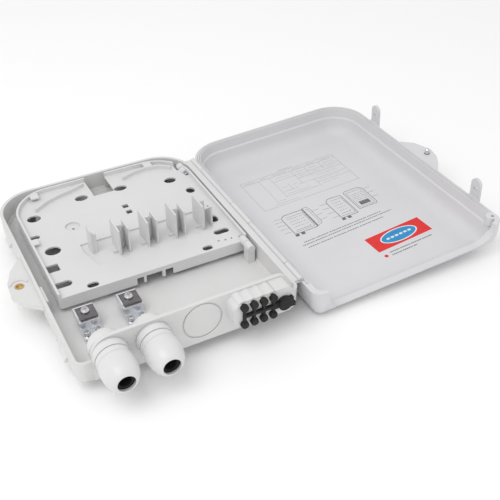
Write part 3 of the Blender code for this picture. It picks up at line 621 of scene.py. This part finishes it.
def make_base():
    base = base_body()
    ear = [(-168, 133), (-170.6, 133), (-180.5, 121), (-186.6, 107), (-187.6, 92), (-182, 80), (-170.6, 70)]
    ear.append((-168, 70))
    bosses = []
    for x in CLAMP_XS:
        for side in (-FOOT_SCREW_SIDE, FOOT_SCREW_SIDE):
            bosses.append(round_bar((x + side, FOOT_SCREW_Y), 2.8, FLOOR - 0.6, FOOT_UNDER - 0.3, "Z", 14))
        bosses.append(round_bar((x, STRENGTH_SCREW_Y), 3.6, FLOOR - 0.6, STEP_UNDER - 0.3, "Z", 16))
    for x, y in TRAY_SUPPORTS:
        bosses.append(round_bar((x, y), 3.4, FLOOR - 0.6, DECK_UNDER - 0.3, "Z", 14))
    port_wall = prism(hump_profile(), 0.0, PORT_WALL, "Y")
    add(base, port_wall, port_block(), prism(ear, EAR_LOW, EAR_HIGH), *bosses)
    flutes = [round_bar(c, FLUTE_R, BLOCK_FRONT + 0.6, 0.6, "Y", 16) for c in port_centres()]
    flutes.append(box(PORT_X0, PORT_X0 + 24.0, BLOCK_FRONT + 0.7, 0.5, 30.0, 35.9))
    flutes.append(prism(strip(arc(LOCK_X, LOCK_Y, 7.0, 20, 160, 7), 0.7), 16.8, 17.9))
    for y in LATCH_YS:
        flutes.append(prism([(-169.4, 5.0), (-169.4, 10.0), (-171.8, 6.5), (-171.8, 5.0)], y - 6, y + 6, "Y"))
    flutes.append(box(-167.8, -165.4, 74.0, 92.0, 8.0, 17.4))
    flutes.append(round_bar((-WIDTH / 2, LENGTH / 2), 13.0, -FOOT, 0.6, "Z", 24))
    for x in LUG_XS:
        for y in LUG_YS:
            flutes.append(strap_lug(x, y))
    add(base, *flutes)
    # tray hinge posts and the cover hinge's knuckles
    posts = []
    for y0, y1 in TRAY_POSTS:
        posts.append(round_bar((TRAY_HINGE_X, TRAY_HINGE_Z), KNUCKLE_R, y0, y1, "Y", 16))
        posts.append(box(TRAY_HINGE_X - 3.0, TRAY_HINGE_X + 3.0, y0 + 0.3, y1 - 0.3, 2.0, TRAY_HINGE_Z))
    for y0, y1 in BASE_KNUCKLES:
        posts.append(round_bar((HINGE_X, HINGE_Z), BARREL_R, y0, y1, "Y", 16))
        posts.append(box(-1.2, HINGE_X, y0, y1, HINGE_Z - 2.0, HINGE_Z - 0.2))
    posts.append(box(-1.0, LEDGE_SIDE, HINGE_START, HINGE_END, HINGE_Z - 1.5, RIM_Z - 0.05))
    add(base, *posts)
    holes = [round_bar((x, GLAND_Z), GLAND_HOLE_R, -1.0, 4.0, "Y", 28) for x in GLAND_XS]
    holes += [round_bar(c, PORT_R, BLOCK_FRONT - 1, 4.0, "Y", 14) for c in port_centres()]
    holes.append(round_bar((DISC_X, DISC_Z), DISC_R, BLOCK_FRONT - 1, 4.0, "Y", 18))
    holes.append(round_bar((LOCK_X, LOCK_Y), 3.6, 12.0, 19.0, "Z", 18))
    outer = KNOCKOUT_R + KNOCKOUT_GROOVE
    groove = [(KNOCKOUT_R, -1.0), (outer, -1.0), (outer, 0.9), (KNOCKOUT_R, 0.9)]
    holes.append(lathe("tool", groove, KNOCKOUT, "Y", 40))
    holes.append(round_bar((TRAY_HINGE_X, TRAY_HINGE_Z), TRAY_PIN_R + 0.1, 61.5, 69.0, "Y", 12))
    holes.append(round_bar((TRAY_HINGE_X, TRAY_HINGE_Z), TRAY_PIN_R + 0.1, 192.0, 197.5, "Y", 12))
    holes.append(round_bar((HINGE_X, HINGE_Z), PIN_R + 0.1, HINGE_START - 1, HINGE_END + 1, "Y", 12))
    for x in CLAMP_XS:
        for side in (-FOOT_SCREW_SIDE, FOOT_SCREW_SIDE):
            holes.append(round_bar((x + side, FOOT_SCREW_Y), 1.2, 1.2, 7.0, "Z", 10))
        holes.append(round_bar((x, STRENGTH_SCREW_Y), 1.7, 4.0, 12.0, "Z", 10))
    for x, y in BACK_HOLES:
        holes.append(round_bar((x, y), BACK_HOLE_R, -1.0, 4.0, "Z", 12))
    cut(base, *holes)
    return place(base, "base_shell", WHITE)


def make_hinge_pin():
    pin = round_bar((HINGE_X, HINGE_Z), PIN_R, HINGE_START, HINGE_END, "Y", 12)
    place(pin, "cover_hinge_pin", STEEL)


# ---------------------------------------------------------------- cover

def cover_body():
    outside = (
        (COVER_RIM_Z, 0.0), (33.0, 0.7), (38.5, 2.2), (42.4, 5.0), (45.2, 9.6), (46.4, 14.5),
        (COVER_TOP_Z, 20.0),
    )
    inside = (
        (COVER_FLOOR_Z, 23.0), (43.9, 17.5), (42.6, 13.0), (39.6, 9.2), (35.0, 7.4), (28.6, 6.6),
        (27.6, 4.9), (COVER_RIM_Z, 4.3),
    )
    rings = []
    for z, inset in outside[::-1]:
        rings.append([(x, y, z) for x, y in cover_outline(inset)])
    hinge_side = COVER_HINGE_SIDE - HINGE_WALL_EXTRA
    for z, inset in inside[::-1]:
        rings.append([(x, y, z) for x, y in cover_outline(inset, hinge_side)])
    return stack("cover", rings)


def rim_path(inset):
    """The cover's rim from the front far corner round the back to the front hinge corner."""
    x0, x1, y1 = -WIDTH + inset, COVER_HINGE_SIDE - RIM_GROOVE_SHIFT - inset, LENGTH - inset
    r = BACK_RADIUS - inset
    path = [(x1, 4.0)] + arc(x1 - r, y1 - r, r, 0, 90, 7)
    return path + arc(x0 + r, y1 - r, r, 90, 180, 7) + [(x0, 4.0)]


def latch_tab(y):
    """Snap tab that hangs beside the base's wall when the cover is shut."""
    outline = [(y - TAB_HALF, 24.0), (y + TAB_HALF, 24.0)] + arc(y, 8.5, TAB_HALF, 0, -180, 6)
    tab = prism(outline, TAB_OUTER_X, -172.3, "X")
    root = box(TAB_OUTER_X, -168.9, y - TAB_HALF, y + TAB_HALF, COVER_RIM_Z + 0.4, 24.0)
    add(tab, root)
    return cut(tab, box(-176, -171, y - 2.0, y + 2.0, 11.2, 14.2))


def make_cover():
    cover = cover_body()
    cut(cover, prism(hump_profile(1.4, 10.0), COVER_FRONT - 2, 6.0, "Y"))
    cut(cover, round_bar((GLAND_XS[0], GLAND_Z), 14.2, COVER_FRONT - 2, 6.0, "Y", 28))
    cut(cover, prism(strip(rim_path(RIM_GROOVE_INSET), 1.1), COVER_RIM_Z - 1, COVER_RIM_Z + 1.7))
    room = []
    for y0, y1 in BASE_KNUCKLES:
        room.append(round_bar((HINGE_X, HINGE_Z), BARREL_R + 0.4, y0 - 0.4, y1 + 0.4, "Y", 16))
    cut(cover, *room)
    ear = [(-168.8, 129), (-170.4, 129), (-180.6, 120), (-186.4, 104), (-184, 92), (-178, 82), (-170.4, 73)]
    ear.append((-168.8, 73))
    parts = [prism(ear, COVER_RIM_Z + 0.1, COVER_EAR_HIGH)] + [latch_tab(y) for y in LATCH_YS]
    parts.append(round_bar((-165.6, -0.6), 4.2, COVER_RIM_Z, 27.0, "Z", 14))
    for y0, y1 in COVER_KNUCKLES:
        parts.append(round_bar((HINGE_X, HINGE_Z), BARREL_R, y0, y1, "Y", 16))
        parts.append(box(HINGE_X - 1.9, HINGE_X + 2.0, y0, y1, HINGE_Z, 23.0))
    add(cover, *parts)
    holes = [round_bar((LOCK_X, LOCK_Y), 2.5, 17.0, 24.0, "Z", 16)]
    holes.append(round_bar((-166.4, -1.6), 1.3, COVER_RIM_Z - 1, 25.0, "Z", 10))
    holes.append(round_bar((HINGE_X, HINGE_Z), PIN_R + 0.1, HINGE_START - 1, HINGE_END + 1, "Y", 12))
    cut(cover, *holes)
    return place(cover, "cover_shell", COVER_WHITE, True, "cover")


def make_gasket():
    gasket = prism(strip(rim_path(RIM_GROOVE_INSET), 0.85), COVER_RIM_Z - 0.15, COVER_RIM_Z + 1.5)
    place(gasket, "cover_gasket", GASKET, True, "cover")


def make_lock():
    high = EAR_HIGH + 0.1
    profile = [(INSERT_BORE_R, EAR_LOW), (INSERT_R, EAR_LOW), (INSERT_R, high), (INSERT_BORE_R, high)]
    insert = lathe("tool", profile, (LOCK_X, LOCK_Y), "Z", 20)
    place(insert, "lock_insert", BRASS)
    profile = [(1.2, 14.4), (LOCK_SHANK_R, 15.4), (LOCK_SHANK_R, LOCK_HEAD_Z), (LOCK_HEAD_R, LOCK_HEAD_Z)]
    profile += [(LOCK_HEAD_R, LOCK_HEAD_Z + 1.4), (3.2, LOCK_HEAD_Z + 2.6)]
    screw = rings_to_solid("tool", profile, (LOCK_X, LOCK_Y), "Z", 16)
    cut(screw, box(LOCK_X - 3, LOCK_X + 3, LOCK_Y - 0.5, LOCK_Y + 0.5, 24.2, 26.0))
    place(screw, "lock_screw", STEEL, True, "lock_screw_body")


# ---------------------------------------------------------------- print inside the cover

PRINT_LOW = COVER_FLOOR_Z - 0.1
PRINT_HIGH = COVER_FLOOR_Z + 0.01


class Print:
    """Flat print on the cover's inner face, gathered as closed slivers in page millimetres.

    The page's across axis runs opposite to X and its up axis is Y.
    """

    def __init__(self, low=PRINT_LOW):
        self.bm = bmesh.new()
        self.low = low

    def shape(self, points):
        rings = []
        for z in (self.low, PRINT_HIGH):
            rings.append([self.bm.verts.new((-s, t, z)) for s, t in points])
        low, high = rings
        count = len(points)
        for i in range(count):
            j = (i + 1) % count
            self.bm.faces.new((low[i], low[j], high[j], high[i]))
        self.bm.faces.new(low[::-1])
        self.bm.faces.new(high)

    def line(self, a, b, width=0.22):
        along = (Vector(b) - Vector(a)).normalized()
        side = Vector((-along.y, along.x)) * width / 2
        a, b = Vector(a), Vector(b)
        self.shape([a + side, a - side, b - side, b + side])

    def path(self, points, width=0.22, closed=False):
        ends = points[1:] + points[:1] if closed else points[1:]
        for a, b in zip(points, ends):
            self.line(a, b, width)

    def dashes(self, a, b, width=0.5, dash=1.3, gap=0.55):
        """Row of short dashes of uneven length standing in for a line of print."""
        a, b = Vector(a), Vector(b)
        length = (b - a).length
        step = (b - a).normalized()
        place_at, count = 0.0, 0
        while place_at < length:
            size = dash * (0.7 + 0.6 * ((count * 7) % 5) / 4)
            end = min(place_at + size, length)
            if end - place_at > 0.2:
                self.line(a + step * place_at, a + step * end, width)
            place_at = end + gap * (2.2 if count % 6 == 5 else 1.0)
            count += 1

    def made(self):
        return new_object("tool", self.bm)


def tilted(centre, offsets, tilt):
    """Points given as offsets from a centre, turned by tilt about it."""
    points = []
    for u, v in offsets:
        s = centre[0] + u * math.cos(tilt) - v * math.sin(tilt)
        points.append((s, centre[1] + u * math.sin(tilt) + v * math.cos(tilt)))
    return points


def ellipse_points(s, t, rs, rt, tilt, count=72):
    turns = [2 * math.pi * i / count for i in range(count)]
    return tilted((s, t), [(rs * math.cos(a), rt * math.sin(a)) for a in turns], tilt)


def tilted_frame(centre, half_s, half_t, tilt):
    """Corners of a rectangle turned by tilt about its centre."""
    corners = ((-half_s, -half_t), (half_s, -half_t), (half_s, half_t), (-half_s, half_t))
    return tilted(centre, corners, tilt)


def table_print(page):
    """Blank grid of rules with a header row and a few entries."""
    left, right, low, high = 29.3, 127.6, 129.0, 176.5
    page.path([(left, low), (right, low), (right, high), (left, high)], 0.2, True)
    page.line((left, high - 4.2), (right, high - 4.2), 0.26)
    for s, top, bottom in (
        (46.2, 172.3, 133.0), (57.2, 172.3, 138.0), (80.0, 172.3, 150.0), (94.0, 172.3, 155.0),
        (109.6, 172.3, 160.0), (92.5, 150.0, 136.0), (68.0, 155.0, 145.0),
    ):
        page.line((s, top), (s, bottom), 0.16)
    for t, start, end in (
        (164.0, 57.2, right), (158.0, 80.0, right), (149.5, 77.0, 126.0), (138.5, 56.0, 91.0),
        (132.0, 42.0, 66.0), (143.6, 92.5, right),
    ):
        page.line((start, t), (end, t), 0.16)
    page.dashes((70.0, 178.6), (85.0, 178.6), 0.55, 1.6)
    header = high - 2.3
    for s, end in ((33, 43), (49, 55), (62, 76), (83, 92), (98, 107), (113, 124)):
        page.dashes((s, header), (end, header), 0.4, 1.1)
    for s, t, end in (
        (62, 168.0, 76), (83, 168.0, 91), (97, 168.0, 106), (112, 168.0, 124), (83, 161.0, 91),
        (97, 161.0, 106), (112, 161.0, 122), (97, 154.0, 120), (60, 152.0, 66), (71, 152.0, 76),
        (96, 147.0, 118), (60, 146.0, 74), (96, 140.0, 112), (60, 141.5, 84), (48, 135.5, 55),
    ):
        page.dashes((s, t), (end, t), 0.3, 0.9)


def open_box_print(page, s0, s1, t0, t1, arched):
    """Line drawing of an open box seen from the front, with its glands as two blocks."""
    r = 5.5
    outline = [(s0, t0 + 1.5), (s0 + 1.5, t0), (s1, t0)]
    outline += [(s1, t1 - (0.8 if arched else 0.2))]
    outline += arc(s0 + r, t1 - r, r, 90, 180, 3)
    page.path(outline, 0.5, True)
    page.path([(s0 + 1.6, t0 + 2.4), (s1 - 1.4, t0 + 2.4), (s1 - 1.4, t1 - 4.0), (s0 + 4.0, t1 - 4.0)], 0.22)
    for s in (s0 + 0.8, s0 + 6.5):
        page.shape([(s - 1.7, t0 - 3.2), (s + 1.7, t0 - 3.2), (s + 1.7, t0 - 0.3), (s - 1.7, t0 - 0.3)])
    middle = (t0 + t1) / 2
    for row in range(4):
        t = middle + 4.0 * row - 5.0
        page.dashes((s0 + 4.0, t), (s1 - 3.5, t), 0.42, 0.9, 0.9)
    page.path([(s0 + 3.5, middle - 9.5), (s1 - 4.0, middle - 9.5), (s1 - 4.0, middle - 7.6)], 0.3)


def drawings_print(page):
    open_box_print(page, 35.7, 57.4, 87.0, 114.8, False)
    page.line((58.4, 87.4), (58.4, 115.6), 0.85)
    page.path([(58.6, 88.0), (63.4, 90.0), (64.3, 93.0), (64.3, 112.0), (62.6, 116.2), (58.6, 115.6)], 0.3)
    page.path([(60.6, 91.0), (62.4, 92.4), (62.4, 111.5), (60.6, 113.0)], 0.18)
    open_box_print(page, 81.4, 98.0, 86.0, 116.0, True)
    outline = [(102.0, 89.5), (119.6, 89.5), (121.0, 91.2), (121.0, 113.0)]
    outline += arc(116.4, 113.1, 4.6, 0, 90, 3) + [(104.0, 117.7), (102.0, 116.0)]
    page.path(outline, 0.42, True)
    page.path([(103.6, 91.4), (118.8, 91.4), (118.8, 114.6), (103.6, 114.6)], 0.2, True)
    page.shape([(106.4, 93.4), (116.6, 93.4), (116.6, 98.6), (106.4, 98.6)])
    for t in (101.0, 103.4, 105.8, 108.2, 110.6):
        page.dashes((105.4, t), (117.4, t), 0.3, 0.9)
    for s, t, reach in (
        (34.0, 112.5, -5.5), (33.6, 108.0, -6.5), (33.6, 103.0, -6.0), (33.8, 97.5, -6.5), (33.8, 92.0, -6.0),
    ):
        page.line((s + 1.4, t - 0.6), (s - 2.0, t), 0.14)
        page.dashes((s + reach, t), (s - 2.2, t), 0.34, 0.9)
    for s, t in ((79.0, 111.0), (78.6, 104.5), (78.8, 97.0), (79.2, 90.0)):
        page.line((s + 2.2, t - 0.5), (s - 1.2, t), 0.14)
        page.dashes((s - 5.0, t), (s - 1.4, t), 0.34, 0.9)
    for s, t in ((123.5, 113.0), (123.5, 106.0), (123.5, 99.0), (66.8, 108.0), (66.8, 101.0), (66.8, 94.0)):
        page.line((s - 2.2, t - 0.4), (s, t), 0.14)
        page.dashes((s + 0.3, t), (s + 4.4, t), 0.34, 0.9)


def note_print(page):
    page.dashes((36.0, 74.0), (115.2, 77.0), 0.75, 1.5)
    page.dashes((33.0, 70.5), (124.0, 74.4), 0.75, 1.5)
    page.dashes((36.0, 66.3), (112.7, 69.4), 0.75, 1.5)
    page.dashes((89.0, 27.0), (132.0, 28.4), 0.95, 1.3, 0.45)
    page.dashes((89.0, 23.4), (114.0, 24.2), 0.95, 1.3, 0.45)


def make_prints():
    """Blank table, two line drawings and rows of dashes, kept under the label's own name."""
    page = Print()
    table_print(page)
    rules = page.made()
    rules.name = "rules"
    place(rules, "instruction_rules", FAINT_INK, True, "cover", ())
    page = Print()
    drawings_print(page)
    note_print(page)
    place(page.made(), "instruction_label", INK, True, "cover")


STICKER_CENTRE = (108.9, 42.7)
OVAL_CENTRE = (109.2, 42.8)
STICKER_TILT = 0.055


def make_sticker():
    """Red sticker with a blue oval and no words."""
    sheet = Print(PRINT_LOW)
    sheet.shape(tilted_frame(STICKER_CENTRE, 27.9, 9.9, STICKER_TILT))
    place(sheet.made(), "warning_sticker", STICKER_RED, True, "cover")
    layers = (
        ("sticker_rim", STICKER_WHITE, 18.4, 7.9, 0.03), ("sticker_oval", STICKER_BLUE, 17.2, 6.9, 0.05),
    )
    for name, look, rs, rt, lift in layers:
        disc = Print(PRINT_LOW + 0.02)
        disc.shape(ellipse_points(*OVAL_CENTRE, rs, rt, STICKER_TILT))
        piece = disc.made()
        piece.data.transform(Matrix.Translation((0.0, 0.0, -lift)))
        place(piece, name, look, True, "cover", ())
    marks = Print(PRINT_LOW + 0.02)
    centre = Vector(OVAL_CENTRE)
    across = Vector((math.cos(STICKER_TILT), math.sin(STICKER_TILT)))
    for offset in (-11.0, -6.6, -2.2, 2.2, 6.6, 11.0):
        marks.line(centre + across * (offset - 1.5), centre + across * (offset + 1.5), 2.0)
    piece = marks.made()
    piece.data.transform(Matrix.Translation((0.0, 0.0, -0.07)))
    place(piece, "sticker_marks", STICKER_WHITE, True, "cover", ())
    dot = Print()
    dot.shape(ellipse_points(84.0, 24.6, 1.7, 1.7, 0.0, 24))
    place(dot.made(), "sticker_dot", STICKER_RED, True, "cover", ())


# ---------------------------------------------------------------- cable glands

def make_gland(index, x):
    centre = (x, GLAND_Z)
    body = lathe("tool", [
        (GLAND_BORE_R, 12.0), (GLAND_BORE_R, -15.0), (10.2, -15.0), (10.2, -7.0), (GLAND_FLANGE_R, -7.0),
        (GLAND_FLANGE_R, -1.7), (GLAND_TUBE_R, -1.7), (GLAND_TUBE_R, 12.0),
    ], centre, "Y", 28)
    place(body, f"gland_{index}_body", NYLON)
    washer = lathe("tool", [(11.5, -1.5), (WASHER_R, -1.5), (WASHER_R, -0.2), (11.5, -0.2)], centre, "Y", 28)
    place(washer, f"gland_{index}_washer", GASKET)
    nut = prism(arc(x, GLAND_Z, LOCKNUT_R, 0, 360, 6)[:-1], 3.2, 8.6, "Y")
    cut(nut, round_bar(centre, 11.2, 2.0, 10.0, "Y", 28))
    place(nut, f"gland_{index}_locknut", NYLON)
    profile = [(SEAL_BORE_R, -29.6), (SEAL_BORE_R, -8.0), (8.2, -8.0), (8.2, -24.5), (6.6, -29.6)]
    seal = lathe("tool", profile, centre, "Y", 20)
    place(seal, f"gland_{index}_seal", RUBBER)
    dome = lathe("tool", [
        (10.6, -7.4), (DOME_NECK_R, -7.4), (DOME_NECK_R, -11.6), (DOME_NECK_R - 0.6, -12.1), (12.5, -12.9),
        (DOME_R, -14.5), (DOME_R, -18.0), (12.4, -22.5), (11.3, -26.8), (9.2, -30.4), (7.6, -31.8),
        (DOME_MOUTH_R, DOME_TIP_Y), (DOME_MOUTH_R, -30.8), (8.5, -25.0), (10.6, -15.4),
    ], centre, "Y", 28)
    place(dome, f"gland_{index}_dome_nut", NYLON, False, f"gland_nut_{index}")


# ---------------------------------------------------------------- drop-port seal

def make_port_seal():
    """One rubber comb: a spine with a plug above and below it for each column, and a disc."""
    last = PORT_X0 + (PORT_COLUMNS - 1) * PORT_PITCH
    seal = box(PORT_X0 - 0.5, DISC_X - 2.0, -14.9, BLOCK_FRONT - 0.3, 23.9, 26.1)
    parts = []
    for x, z in port_centres():
        profile = [(2.5, -15.6), (PLUG_R, -15.0), (PLUG_R, -12.3), (2.15, -12.3), (2.1, -7.0), (1.6, -6.0)]
        parts.append(rings_to_solid("tool", [(1.6, -15.9)] + profile, (x, z), "Y", 14))
        low, high = sorted((z, 25.0))
        parts.append(box(x - 0.9, x + 0.9, -14.6, BLOCK_FRONT - 0.35, low, high))
    profile = [(4.4, -16.6), (SEAL_DISC_R, -15.8), (SEAL_DISC_R, -12.3), (4.4, -12.3), (4.3, -7.0)]
    parts.append(rings_to_solid("tool", profile, (DISC_X, DISC_Z), "Y", 20))
    parts.append(box(DISC_X, DISC_X + 8.2, -15.2, BLOCK_FRONT - 0.32, DISC_Z - 4.4, DISC_Z - 0.8))
    parts.append(box(DISC_X, DISC_X + 6.6, -15.2, BLOCK_FRONT - 0.32, DISC_Z + 1.4, DISC_Z + 4.0))
    parts.append(box(last, DISC_X, -15.0, BLOCK_FRONT - 0.34, 22.6, 27.4))
    add(seal, *parts)
    place(seal, "drop_port_seal", RUBBER, False, "port_seal")


# ---------------------------------------------------------------- cable clamps

def pan_screw(name, x, y, head_z, tip_z, r=1.5, head_r=3.0):
    """Pan-head screw with a cross recess."""
    profile = [(r * 0.6, tip_z), (r, tip_z + 0.8), (r, head_z), (head_r, head_z), (head_r, head_z + 1.0)]
    profile += [(head_r * 0.78, head_z + 1.9), (head_r * 0.35, head_z + 2.2)]
    screw = rings_to_solid("tool", profile, (x, y), "Z", 14)
    slot = 0.35
    reach = head_r * 0.55
    cross = add(
        box(x - reach, x + reach, y - slot, y + slot, head_z + 1.1, head_z + 3.0),
        box(x - slot, x + slot, y - reach, y + reach, head_z + 1.15, head_z + 2.9),
    )
    cut(screw, cross)
    place(screw, name, STEEL)


def make_clamp(index, x):
    """Bent steel bracket: a foot with two screws and a step with a pressure plate."""
    half = CLAMP_WIDTH / 2
    low, high = FOOT_UNDER, STEP_UNDER
    top = high + SHEET
    profile = [
        (36.6, low), (47.6, low), (47.6, high), (62.5, high), (62.5, top), (46.4, top), (46.4, low + SHEET),
        (36.6, low + SHEET),
    ]
    bracket = prism(profile, x - half, x + half, "X")
    side = box(x - half, x - half + SHEET, 50.0, 62.4, low + 2.6, top + 1.5)
    back = box(x - half + 0.2, x + half, 61.3, 62.6, high + 0.2, top + 1.45)
    add(bracket, side, back)
    holes = [round_bar((x, STRENGTH_SCREW_Y), 1.8, 9.0, 14.0, "Z", 12)]
    for offset in (-FOOT_SCREW_SIDE, FOOT_SCREW_SIDE):
        holes.append(round_bar((x + offset, FOOT_SCREW_Y), 1.4, 2.0, 7.0, "Z", 12))
    cut(bracket, *holes)
    place(bracket, f"clamp_{index}_bracket", ZINC)
    plate = box(x - half + SHEET + 0.5, x + half - 0.2, 48.4, 60.9, top + 0.3, top + 1.5)
    cut(plate, round_bar((x, STRENGTH_SCREW_Y), 1.8, 11.0, 16.0, "Z", 12))
    # The plate's dark steel colour is a painted reflection.
    place(plate, f"clamp_{index}_pressure_plate", PLATE_STEEL_PAINTED_REFLECTION)
    pan_screw(f"clamp_{index}_strength_screw", x, STRENGTH_SCREW_Y, top + 1.8, 5.0, 1.5, 3.3)
    head = low + SHEET + 0.3
    for number, offset in ((1, -FOOT_SCREW_SIDE), (2, FOOT_SCREW_SIDE)):
        pan_screw(f"clamp_{index}_foot_screw_{number}", x + offset, FOOT_SCREW_Y, head, 1.8, 1.0, 2.5)


# ---------------------------------------------------------------- splice tray

DECK_HOLES = (
    # x, y, size along X, size along Y, corners
    (-146.0, 179.0, 9.0, 7.5, 4), (-145.0, 130.5, 10.0, 8.5, 4), (-152.5, 153.5, 8.0, 5.0, 12),
    (-151.5, 109.5, 9.5, 9.0, 0), (-150.5, 88.0, 14.0, 7.0, 12), (-131.0, 77.5, 9.0, 5.5, 12),
    (-37.5, 78.0, 8.5, 5.5, 12), (-102.0, 190.0, 9.0, 6.5, 4), (-67.5, 189.0, 9.0, 6.0, 4),
    (-24.8, 180.5, 8.5, 6.5, 4), (-15.6, 158.0, 7.5, 8.5, 12), (-73.5, 161.5, 5.0, 5.0, 0),
    (-73.5, 152.5, 5.0, 5.0, 0), (-18.5, 92.5, 13.0, 6.0, 12), (-26.0, 82.0, 1.8, 1.8, 12),
    (-20.6, 80.8, 1.8, 1.8, 12), (-15.4, 80.5, 1.8, 1.8, 12), (-13.0, 129.5, 1.8, 1.8, 12),
    (-16.6, 111.0, 6.0, 8.0, 3),
)


def deck_hole(x, y, size_x, size_y, corners):
    """Tool for one opening in the deck: round ended, straight, or a few-sided lozenge."""
    if corners == 0:
        return box(x - size_x / 2, x + size_x / 2, y - size_y / 2, y + size_y / 2, 12.0, 18.0)
    if corners == 12:
        r = min(size_x, size_y) / 2
        dx, dy = size_x / 2 - r, size_y / 2 - r
        points = arc(x + dx, y + dy, r, 0, 90, 3) + arc(x - dx, y + dy, r, 90, 180, 3)
        points += arc(x - dx, y - dy, r, 180, 270, 3) + arc(x + dx, y - dy, r, 270, 360, 3)
        unique = [p for p, q in zip(points, points[1:] + points[:1]) if math.dist(p, q) > 0.01]
        return prism(unique, 12.0, 18.0)
    start = 45 if corners == 4 else 30
    points = arc(x, y, size_x / 1.55, start, start + 360, corners, size_y / 1.55)[:-1]
    return prism(points, 12.0, 18.0)


def fin_group(x, first, last):
    """Two upright fins between adapter bays, joined by a web that faces the ports."""
    low = RECESS_FLOOR - 1.0
    parts = []
    if first:
        parts.append(box(x + 0.6, x + 1.9, 113.5, 124.0, low, FIN_TOP - 2.0))
        parts.append(box(x + 1.2, x + 5.0, 113.9, 115.2, low, FIN_TOP - 5.0))
    else:
        parts.append(box(x - 4.3, x - 3.0, 101.6, 121.5, low, FIN_TOP))
        parts.append(box(x - 3.6, x + 1.6, 110.4, 111.8, low, FIN_TOP - 0.6))
        parts.append(box(x - 8.0, x - 3.7, 106.4, 107.7, low, RECESS_FLOOR + 2.2))
    if last:
        parts.append(prism([(101.7, low), (119.0, low), (101.7, FIN_TOP - 3.0)], x - 3.6, x - 2.2, "X"))
    elif not first:
        parts.append(box(x + 3.4, x + 4.7, 102.0, 116.0, low, FIN_TOP))
        parts.append(box(x + 0.9, x + 4.0, 112.6, 113.9, low, FIN_TOP - 4.0))
    return parts


def make_tray():
    tray = prism(tray_outline(0.0), TRAY_UNDER, TRAY_TOP)
    cut(
        tray,
        prism(tray_outline(TRAY_WALL), TRAY_UNDER - 1, DECK_UNDER),
        prism(tray_outline(TRAY_WALL), DECK_TOP, TRAY_TOP + 1),
        box(TRAY_LEFT + TRAY_WALL, TRAY_RIGHT + 1, TRAY_FRONT - 1, TRAY_FRONT + 2.5, DECK_TOP, TRAY_TOP + 1),
    )
    recess = [(-124, 128), (-124, 116), (-119, 97.5), (-24, 99), (-20.5, 103), (-20.5, 128)]
    floor = [(-126, 130), (-126, 115), (-120.5, 95.5), (-23, 97), (-18.5, 102), (-18.5, 130)]
    add(tray, prism(floor, RECESS_FLOOR - 1.5, DECK_TOP - 0.3))
    cut(tray, prism(recess, RECESS_FLOOR, DECK_TOP + 1))
    parts = []
    for group in range(FIN_GROUPS):
        parts += fin_group(FIN_X0 + group * FIN_PITCH, group == 0, group == FIN_GROUPS - 1)
    gusset = [(104.0, RECESS_FLOOR - 0.8), (128.0, RECESS_FLOOR - 0.8), (104.0, 34.0)]
    parts.append(prism(gusset, -20.4 - 1.4, -20.4, "X"))
    # fibre guides along the back corners
    for path in (
        [(-142, 187), (-131, 194.5), (-118, 199.5), (-106, 202.5), (-95, 206.5)],
        [(-61, 199.5), (-50, 203.8), (-38, 205.5), (-26, 203.5), (-17, 197.0)],
    ):
        parts.append(prism(strip(path, 0.8), DECK_TOP - 0.6, TRAY_TOP - 0.2))
    for x0, x1, y0, y1 in ((-141, -134, 202.5, 210.5), (-38, -31, 205.0, 213.0), (-157.2, -152, 140, 147)):
        parts.append(box(x0, x1, y0, y1, TRAY_TOP - 1.4, TRAY_TOP - 0.1))
    parts.append(prism(arc(*SPLICE_WELL, 7.2, 0, 360, 18)[:-1], DECK_UNDER - 1.5, DECK_UNDER + 0.4))
    add(tray, *parts)
    # openings, the back notch, the notches in the front skirt and room for the rear post
    tools = [deck_hole(*hole) for hole in DECK_HOLES]
    tools.append(round_bar(SPLICE_WELL, 6.0, DECK_UNDER, 18.0, "Z", 18))
    tools.append(round_bar((-121.3, 153.0), 1.2, 12.0, 18.0, "Z", 10))
    tools.append(box(*TRAY_NOTCH, 188.0, 216.0, TRAY_UNDER - 1, TRAY_TOP + 1))
    for x0, x1 in SKIRT_NOTCHES:
        tools.append(box(x0, x1, TRAY_FRONT - 1, TRAY_FRONT + 2.4, TRAY_UNDER - 1, 12.6))
    tools.append(box(-13.0, 1.0, 192.2, 216.0, TRAY_UNDER - 1, TRAY_TOP + 1))
    cut(tray, *tools)
    knuckles = []
    for y0, y1 in TRAY_KNUCKLES:
        knuckles.append(round_bar((TRAY_HINGE_X, TRAY_HINGE_Z), KNUCKLE_R, y0, y1, "Y", 16))
    add(tray, *knuckles)
    bores = []
    for y0, y1 in ((68.0, 80.5), (181.0, 193.0)):
        bores.append(round_bar((TRAY_HINGE_X, TRAY_HINGE_Z), TRAY_PIN_R + 0.15, y0, y1, "Y", 12))
    bores.append(box(TRAY_HINGE_X - 0.9, TRAY_HINGE_X + 0.9, 68.0, 72.8, 10.0, TRAY_HINGE_Z))
    cut(tray, *bores)
    place(tray, "splice_tray", TRAY_WHITE, False, "tray")
    for name, y0, y1 in (("front", 61.8, 79.5), ("rear", 182.0, 197.2)):
        pin = round_bar((TRAY_HINGE_X, TRAY_HINGE_Z), TRAY_PIN_R, y0, y1, "Y", 12)
        place(pin, f"tray_pin_{name}", STEEL)


make_camera()
make_studio()
make_base()
make_hinge_pin()
make_cover()
make_gasket()
make_prints()
make_sticker()
make_lock()
for number, gland_x in enumerate(GLAND_XS, 1):
    make_gland(number, gland_x)
make_port_seal()
for number, clamp_x in enumerate(CLAMP_XS, 1):
    make_clamp(number, clamp_x)
make_tray()
